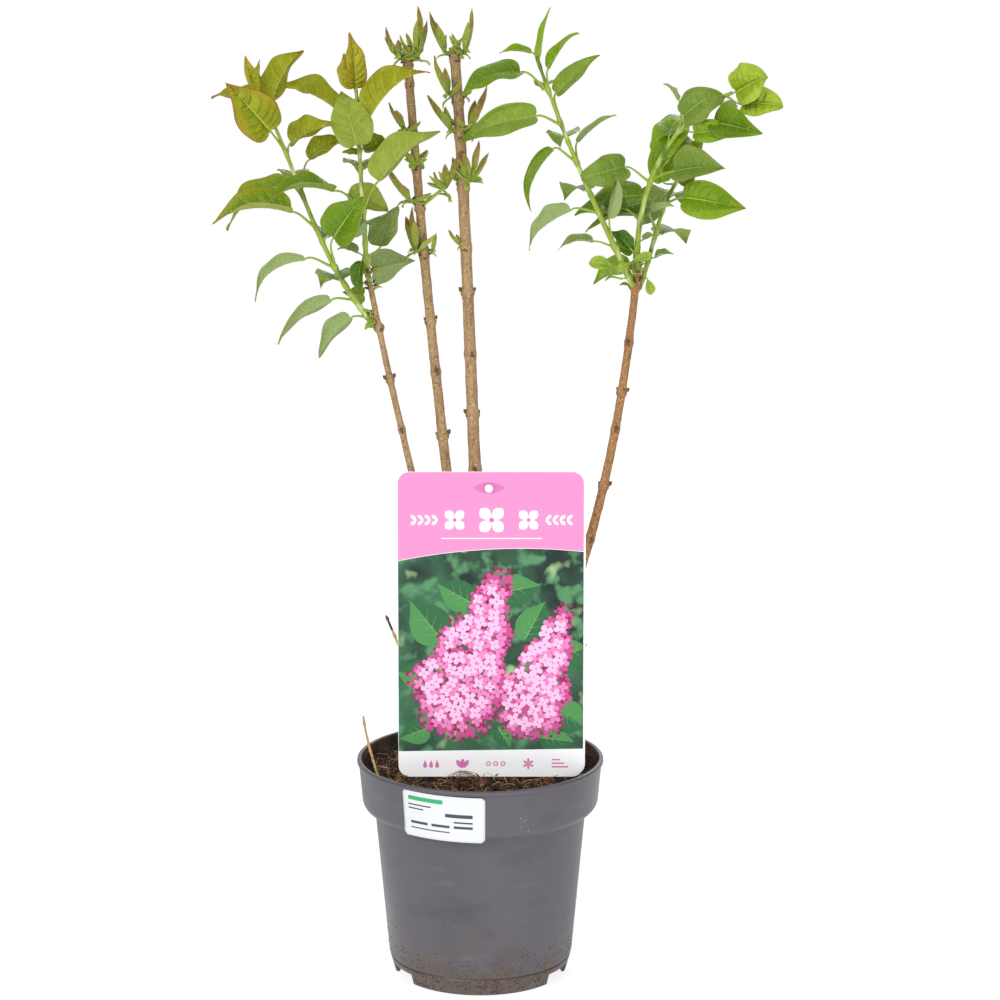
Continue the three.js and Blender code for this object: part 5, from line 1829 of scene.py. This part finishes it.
def label():
    half, height, corner = LABEL["width"] / 2, LABEL["height"], LABEL["corner"]
    sheets, prints = Heap(), Heap()
    edge = half - FRONT_SHEET["right"]
    front = rounded_rectangle(-half, edge, 0, height, corner)
    slab(sheets, front, CARD_FACE, CARD_FACE + FRONT_SHEET["thick"], "card_white")
    left, foot, top = -half + BACK_SHEET["left"], BACK_SHEET["foot"], height - BACK_SHEET["top"]
    back = rounded_rectangle(left, half, foot, top, corner)
    slab(sheets, back, CARD_FACE + BACK_SHEET["front"], -CARD_FACE, "card_white")
    piece("label_sheets", sheets, "label_print", "label_card", smooth=False)

    left, right, top = -half + PRINT_MARGIN, edge - PRINT_MARGIN, height - PRINT_MARGIN
    corner -= PRINT_MARGIN
    across = np.linspace(left, right, 25)
    header = [(x, header_edge(x)) for x in across]
    header += arc(right - corner, top - corner, corner, 0, 90, 8)
    header += arc(left + corner, top - corner, corner, 90, 180, 8)
    stamp(prints, header, "card_pink")
    picture = [(x, footer_edge(x)) for x in across] + [(x, header_edge(x) - 0.3) for x in across[::-1]]
    stamp(prints, picture, "card_picture")
    # The hanging slot's shadow round the peg's head.
    x, z = polar(1, full_circle(40))
    slot = np.stack([PEG["x"] + 9.5 * x, PEG["head"] + 0.3 + 3.4 * z * (0.45 + 0.55 * z**2)], -1)
    stamp(prints, slot, "card_pink_deep", PRINT_SKIN)
    title_flowers(prints)
    for leaf in PRINTED_LEAVES:
        printed_leaf(prints, *leaf)
    footer_icons(prints)
    piece("label_prints", prints, "label_print", smooth=False)
    blossom_print()
    peg()


def disc(x, z, radius, steps=20):
    turn = full_circle(steps)
    return np.stack([x + radius * np.cos(turn), z + radius * np.sin(turn)], -1)


def bar(left, right, foot, top):
    return [(left, foot), (right, foot), (right, top), (left, top)]


def petal(x, z, length, width, turn):
    """A petal's outline from its foot, pointing at a turn in degrees."""
    ahead, beside = flat_axes(turn)
    way = np.linspace(0.02, 1, 10)[:, None]
    swell = np.sin(math.pi * way**1.3) ** 0.7 * width / 2
    middle = np.array([x, z]) + ahead * way * length
    return np.vstack([middle - beside * swell, (middle + beside * swell)[-2:0:-1]])


TITLE = 156  # how far up the card the header's flowers are


def title_flowers(heap):
    """A plain white row in the header, where a name would stand: three flowers between two sprays."""
    for x, size in ((-22, 7.5), (0, 9.5), (22, 7.5)):
        for k in range(4):
            stamp(heap, petal(x, TITLE, size, size * 0.72, 45 + 90 * k), "card_white", PRINT_SKIN)
        stamp(heap, disc(x, TITLE, size * 0.16), "card_pink_deep", 2 * PRINT_SKIN)
    for side in (-1, 1):
        for k in range(4):
            x = side * (32 + 4.2 * k)
            for turn in (90 - side * 50, -90 + side * 50):
                stamp(heap, petal(x, TITLE, 4.6, 2.0, turn), "card_white", PRINT_SKIN)
    stamp(heap, bar(-30, 30, 144.6, 145.2), "card_white", PRINT_SKIN)


def footer_icons(heap):
    """Small plain signs on the white footer: drops, leaves, rings, a flower and bars."""
    kind, middle = "icon_pink", 8
    z, side = polar(1, full_circle(18))
    for x in (-40, -36.4, -32.8):
        drop = np.stack([x + 1.5 * side * (1 - z) / 1.6, middle + 2.6 * z], -1)
        stamp(heap, drop[::-1], kind)
    for x, turn in ((-18, 120), (-17, 60), (-17.5, 90)):
        stamp(heap, petal(x, 5, 6.2, 2.6, turn), kind)
    for x in (-2, 2.4, 6.8):
        stamp(heap, disc(x, middle, 1.5), kind)
        stamp(heap, disc(x, middle, 0.8), "card_white", PRINT_SKIN)
    for k in range(6):
        stamp(heap, petal(22, middle, 3.6, 1.4, 60 * k + 30), kind)
    for k in range(3):
        stamp(heap, bar(36, 46 - 2.5 * k, 5.6 + 2.2 * k, 6.5 + 2.2 * k), kind)


def floret(size):
    """One printed floret: four round petals in a lens of a few faces, raised by a hair."""
    turn = full_circle(16)
    lobe = np.abs(np.cos(2 * turn)) ** 0.6
    reach = size * (0.45 + 0.55 * lobe)
    heap = Heap()
    for share, lift in ((1.0, 0.0), (0.6, 0.09)):
        heap.put(np.stack([*polar(share * reach, turn), lift * lobe + 0.02], -1))
    middle = heap.put([[0, 0, 0.03], [0, 0, -0.02]])
    heap.cover(grid_faces(2, 16, closed=True), "floret_pink", 0)
    ring = np.arange(16)
    heap.fan(ring + 16, middle, "floret_pink", 0)
    heap.fan(ring, middle + 1, "floret_pink", 0, flip=True)
    return new_object("floret", mesh_of("floret", heap, smooth=False))


def dot(size, lift):
    """A printed dot: a six-sided lens, for the florets' eyes and the closed buds."""
    heap = Heap()
    heap.put(np.stack([*polar(size, full_circle(6)), np.full(6, lift)], -1))
    middle = heap.put([[0, 0, lift + 0.06], [0, 0, lift - 0.03]])
    ring = np.arange(6)
    heap.fan(ring, middle, "floret_eye", 0)
    heap.fan(ring, middle + 1, "floret_eye", 0, flip=True)
    return new_object("dot", mesh_of("dot", heap, smooth=False))


def print_area(loop, depth):
    """A flat patch of the label to strew florets on, facing the front."""
    heap = Heap()
    first = heap.put(at_depth(loop, depth))
    heap.cover([np.arange(len(loop))], "card_picture", first)
    return new_object("area", mesh_of("area", heap, smooth=False))


# The picture: where each leaning truss starts and ends on the card, and its greatest half width.
TRUSSES = [((17, 25), (44, 102), 20), ((-29, 27), (6, 124), 27)]
# Its leaves: foot across and up the card, length, width and turn.
PRINTED_LEAVES = [
    (-30, 84, 30, 25, 128),
    (-34, 60, 24, 20, 170),
    (38, 40, 24, 20, -22),
    (30, 24, 20, 15, -8),
    (20, 84, 26, 20, 62),
    (40, 74, 20, 17, 12),
    (-38, 30, 19, 16, 200),
    (4, 112, 26, 20, 10),
    (-12, 106, 24, 19, 150),
    (4, 30, 14, 12, -60),
]
# Its layers of florets: shape, material, spacing, smallest and largest size, how far out, shift, and seed.
PRINT_LAYERS = [
    ("bud", "floret_deep", 0.0029, 0.9, 1.6, 1.10, 0, 3),
    ("bud", "floret_rose", 0.0030, 0.9, 1.6, 1.04, 0, 5),
    ("floret", "floret_rose", 0.0047, 0.7, 1.0, 0.96, 0, 1),
    ("floret", "floret_deep", 0.0110, 0.6, 0.8, 0.90, 0, 6),
    ("floret", "floret_pink", 0.0053, 0.8, 1.1, 0.86, -1, 2),
    ("eye", "floret_rose", 0.0053, 0.8, 1.1, 0.86, -1, 2),
    ("floret", "floret_pale", 0.0061, 0.8, 1.15, 0.72, -2, 4),
    ("eye", "floret_eye", 0.0061, 0.8, 1.15, 0.72, -2, 4),
]
PRINT_STEP = 0.05  # how far each layer of the print lies over the last


def truss_outline(foot, tip, wide, spread, shift, phase):
    """A cone-shaped truss: full near its foot, tapering to its tip, with a lobed edge."""
    foot, tip = np.array(foot, float), np.array(tip, float)
    ahead = unit(tip - foot)
    beside = np.array([-ahead[1], ahead[0]])
    way = np.linspace(0, 1, 22)
    half = wide * np.minimum(0.35 + way / 0.26, 1) * (1 - 0.84 * np.clip((way - 0.26) / 0.74, 0, 1) ** 1.15)
    along = (way - 0.45) * (0.3 + 0.7 * spread) + 0.45
    axis = foot + along[:, None] * (tip - foot) + beside * -shift
    loop = []
    for side, order in ((-1, slice(None)), (1, slice(None, None, -1))):
        edge = half * spread * (1 + 0.12 * np.sin(21 * way + phase + side))
        loop += list((axis + side * beside * edge[:, None])[order])
    return [keep_on_picture(x, z, 4) for x, z in loop]


def keep_on_picture(x, z, margin):
    """The nearest place that is some millimetres inside the picture's edges."""
    half = LABEL["width"] / 2
    x = float(np.clip(x, -half + 0.3 + margin, half - 1.2 - margin))
    return x, float(np.clip(z, footer_edge(x) + margin, header_edge(x) - 0.3 - margin))


def printed_leaf(heap, x, z, length, width, turn):
    """A heart-shaped leaf of the picture, one half in the light, with pale veins."""
    ahead, beside = flat_axes(turn)
    way = np.linspace(0, 1, 13)
    share = blade_share(way, *HEART) * width / 2

    def spot(along, across):
        return keep_on_picture(*(np.array([x, z]) + ahead * along * length + beside * across), 0.3)

    for side, kind in ((1, "leaf_print_lit"), (-1, "leaf_print")):
        edge = [spot(w - 0.06 * bell(w, 0.1), side * s) for w, s in zip(way, share)]
        stamp(heap, [*edge, spot(0.5, 0)][::-side], kind, PRINT_SKIN, LEAF_SKIN)
    lines = [((0, 0), (0.97, 0), 0.42)]
    for start in (0.12, 0.3, 0.48):
        for side in (-1, 1):
            out = float(np.interp(start + 0.2, way, share)) * 0.78
            lines.append(((start, 0), (start + 0.2, side * out), 0.2))
    for (a, b), (c, d), thick in lines:
        along = unit(np.array([(c - a) * length, d - b]))
        off = np.array([-along[1] / length, along[0]]) * thick / 2
        loop = [spot(a - off[0], b - off[1]), spot(c, d), spot(a + off[0], b + off[1])]
        stamp(heap, loop, "leaf_print_vein", PRINT_SKIN + LEAF_SKIN, LEAF_SKIN)


def blossom_print():
    """The label's picture: two leaning trusses of pink florets among heart-shaped leaves."""
    shapes = {"floret": floret(4.1), "bud": dot(1.0, 0.0), "eye": dot(0.5, 0.1)}
    meshes = []
    for number, (shape, kind, spacing, smallest, largest, spread, shift, seed) in enumerate(PRINT_LAYERS):
        for part, (foot, tip, wide) in enumerate(TRUSSES):
            outline = truss_outline(foot, tip, wide, spread, shift, part)
            area = print_area(outline, CARD_FACE - PRINT_SKIN - PRINT_STEP * (number + 2 * part + 1))
            chances = (seed * 10 + part, spacing, 3e5, smallest, largest, 0.0)
            meshes.append(grown_once(STREW, area, kind, chances, Shape=shapes[shape]))
    discard(*shapes.values())
    piece("label_blossom", joined("label_blossom", meshes), "label_print")


PEG_SIDES = 40


def peg():
    """The flat peg behind the card and its round head in front."""
    heap, kind = Heap(), "peg_plastic"
    x, half, foot, head = PEG["x"], PEG["width"] / 2, PEG["foot"], PEG["head"]
    shaft = [
        (x, foot - PEG["point"]),
        (x + half, foot),
        (x + half, head),
        *arc(x, head, half, 0, 180, 12),
        (x - half, foot),
    ]
    front, back = CARD_FACE - GAP, GAP - CARD_FACE
    slab(heap, shaft, back, back + PEG["thick"], kind)
    depth, radius = PEG_HEAD["depth"], PEG_HEAD["button"]
    profile = [(radius, 0), (radius, 0.3), *arc(radius - 0.5, 0.7, 0.5, 0, 60, 4)]
    profile += [(radius * 0.5, depth - 0.1), (0.05, depth)]
    ring = np.arange(PEG_SIDES)
    rings = [at_depth(disc(x, head, out, len(ring)), front - ahead) for out, ahead in profile]
    first = heap.put(np.vstack(rings))
    heap.cover(grid_faces(len(profile), len(ring), closed=True), kind, first)
    heap.cover([ring[::-1]], kind, first)
    heap.cover([ring + (len(profile) - 1) * len(ring)], kind, first)
    tube(heap, on_label([(x, front, head), (x, back, head)]), [PEG_HEAD["shank"]] * 2, kind, sides=16)
    piece("label_peg_moulded", heap, kind, "label_peg")


# ---------------------------------------------------------------- sticker

STICKER = {"left": -128.2, "right": -87.4, "foot": 102.9, "top": 131.4, "corner": 2, "lift": 0.1, "dip": 0.6}

# Its plain grey marks: where each starts and ends, how far down it is and how thick.
STICKER_MARKS = [
    (3, 15, 9.0, 0.8),
    (3, 11, 11.4, 0.8),
    (22, 35, 13.6, 2.2),
    (26, 35, 17.0, 1.0),
    (4, 13, 20.4, 1.6),
    (15, 24, 20.4, 1.6),
    (26, 35, 20.4, 1.6),
    (4, 24, 23.4, 0.7),
]

STICKER_SPAN = STICKER["right"] - STICKER["left"]


def collar_patch(heap, left, right, foot, top, kind, lift, corner):
    """A patch bent round the collar between two bearings and two heights, with round or square corners."""
    rows, columns = 16, 28
    grid = np.empty((rows, columns, 3))
    for i, v in enumerate(np.linspace(0, 1, rows)):
        height = foot + (top - foot) * v
        edge = min(v, 1 - v) * (top - foot)
        cut = corner - math.sqrt(max(corner**2 - max(corner - edge, 0) ** 2, 0)) if corner else 0
        turn = math.degrees(cut / RIM_RADIUS)
        for j, u in enumerate(np.linspace(0, 1, columns)):
            bearing = left + turn + (right - left - 2 * turn) * u
            place = height + STICKER["dip"] * (1 - 2 * (bearing - STICKER["left"]) / STICKER_SPAN)
            radius = max(collar_radius(place), RIM_RADIUS - LIP_REACH - COLLAR_TAPER) + lift
            grid[i, j] = (*polar(radius, math.radians(bearing)), place)
    inner = grid.copy()
    inner[..., :2] *= 1 - (0.1 + lift * 0.5) / np.hypot(grid[..., 0], grid[..., 1])[..., None]
    heap.sheet(inner, grid, kind, kind, kind)


def sticker():
    """A blank sticker on the collar, bent to it, with a plain band and lines in place of any print."""
    heap = Heap()
    left, top, lift = STICKER["left"], STICKER["top"], STICKER["lift"]
    over = lift + 0.05
    collar_patch(heap, left, STICKER["right"], STICKER["foot"], top, "sticker_white", lift, STICKER["corner"])
    collar_patch(heap, left + 3, left + 21, top - 5.8, top - 3.2, "sticker_green", over, 1)
    for start, end, drop, thick in STICKER_MARKS:
        foot = top - drop
        collar_patch(heap, left + start, left + end, foot, foot + thick, "sticker_grey", over, 0)
    piece("collar_sticker", heap, "label_print")


def collar_radius(height):
    """The collar's outer radius at a height, with the lip's above it."""
    if height > POT_HEIGHT - LIP_DEPTH - 0.9:
        return LIP_RADIUS
    head = RIM_RADIUS - LIP_REACH
    foot = head - COLLAR_TAPER
    start = COLLAR_FOOT + COLLAR_ROUND
    if height < start:
        drop = min(start - height, COLLAR_ROUND)
        return foot - COLLAR_ROUND + math.sqrt(COLLAR_ROUND**2 - drop**2)
    return foot + COLLAR_TAPER * (height - start) / (POT_HEIGHT - LIP_DEPTH - start)


# ---------------------------------------------------------------- stage, light and camera


def stage():
    """A pale floor that curves up into a backdrop."""
    profile = [(-4.0, 0.0), (2.4, 0.0)]
    profile += [(2.4 + 1.6 * math.sin(a), 1.6 - 1.6 * math.cos(a)) for a in np.linspace(0.1, math.pi / 2, 14)]
    profile += [(4.0, 5.0)]
    bm = bmesh.new()
    rows = [[bm.verts.new((x, y, z)) for x in (-5.0, 5.0)] for y, z in profile]
    for a, b in zip(rows[:-1], rows[1:]):
        bm.faces.new((a[0], a[1], b[1], b[0])).smooth = True
    Maker("backdrop_paper", (0.3, 0.3, 0.3), 0.9, Emission_Color=(1, 1, 1, 1), Emission_Strength=0.82)
    new_object("backdrop", plain_mesh("backdrop", bm, MATERIALS["backdrop_paper"]))


# Each light: where it stands, its size and its power.
LIGHTS = {
    "key": ((-1.2, -1.8, 1.6), 1.1, 29),
    "front": ((0.3, -2.9, 1.0), 1.8, 25),
    "fill": ((1.7, -1.3, 0.9), 1.6, 8),
    "top": ((0.1, 0.2, 2.2), 1.6, 8),
    "back": ((0.4, 1.7, 1.5), 1.4, 9),
}
LIT_PLACE = (0, 0, 0.3)  # what all of them point at
WHITE = (1, 1, 1, 1)


def lights():
    for name, (place, size, power) in LIGHTS.items():
        light = bpy.data.lights.new(name, "AREA")
        light.shape = "DISK"
        light.size = size
        light.energy = power
        thing = new_object(name, light)
        thing.location = place
        thing.rotation_euler = (Vector(LIT_PLACE) - Vector(place)).to_track_quat("-Z", "Y").to_euler()
    bpy.context.scene.world = studio_world()


def studio_world():
    """A dim white surround that lights the bush, and looks as pale as the backdrop."""
    world = bpy.data.worlds.new("studio")
    world.use_nodes = True
    tree = world.node_tree
    dim = tree.nodes["Background"]
    fill(tree, dim, {"Color": WHITE, "Strength": 0.25})
    seen = add_node(tree, "ShaderNodeBackground", {"Color": WHITE, "Strength": 1.0})
    to_camera = add_node(tree, "ShaderNodeLightPath", {}).outputs["Is Camera Ray"]
    parts = {0: to_camera, 1: dim.outputs[0], 2: seen.outputs[0]}
    mix = add_node(tree, "ShaderNodeMixShader", parts).outputs[0]
    fill(tree, tree.nodes["World Output"], {"Surface": mix})
    return world


CAMERA = {"x": 0.012, "y": -1.9, "z": 0.7045, "pitch": 12.2, "lens": 117.0}


def camera():
    data = bpy.data.cameras.new("camera")
    data.sensor_width = 36
    data.lens = CAMERA["lens"]
    data.clip_end = 50
    thing = new_object("camera", data)
    thing.location = (CAMERA["x"], CAMERA["y"], CAMERA["z"])
    thing.rotation_euler = (math.radians(90 - CAMERA["pitch"]), 0, 0)
    bpy.context.scene.camera = thing


# ---------------------------------------------------------------- making everything

camera()
lights()
stage()
pot()
compost()
compost_litter()
soil_on_pot()
label_roots()
main_stem()
lenticels(woody_stems())
thin_twigs()
knuckles()
for number, (name, rule) in enumerate(SHOOTS.items()):
    leafy_shoot(name, rule, number)
bud_clusters()
label()
sticker()

bpy.context.scene.view_settings.view_transform = "Standard"
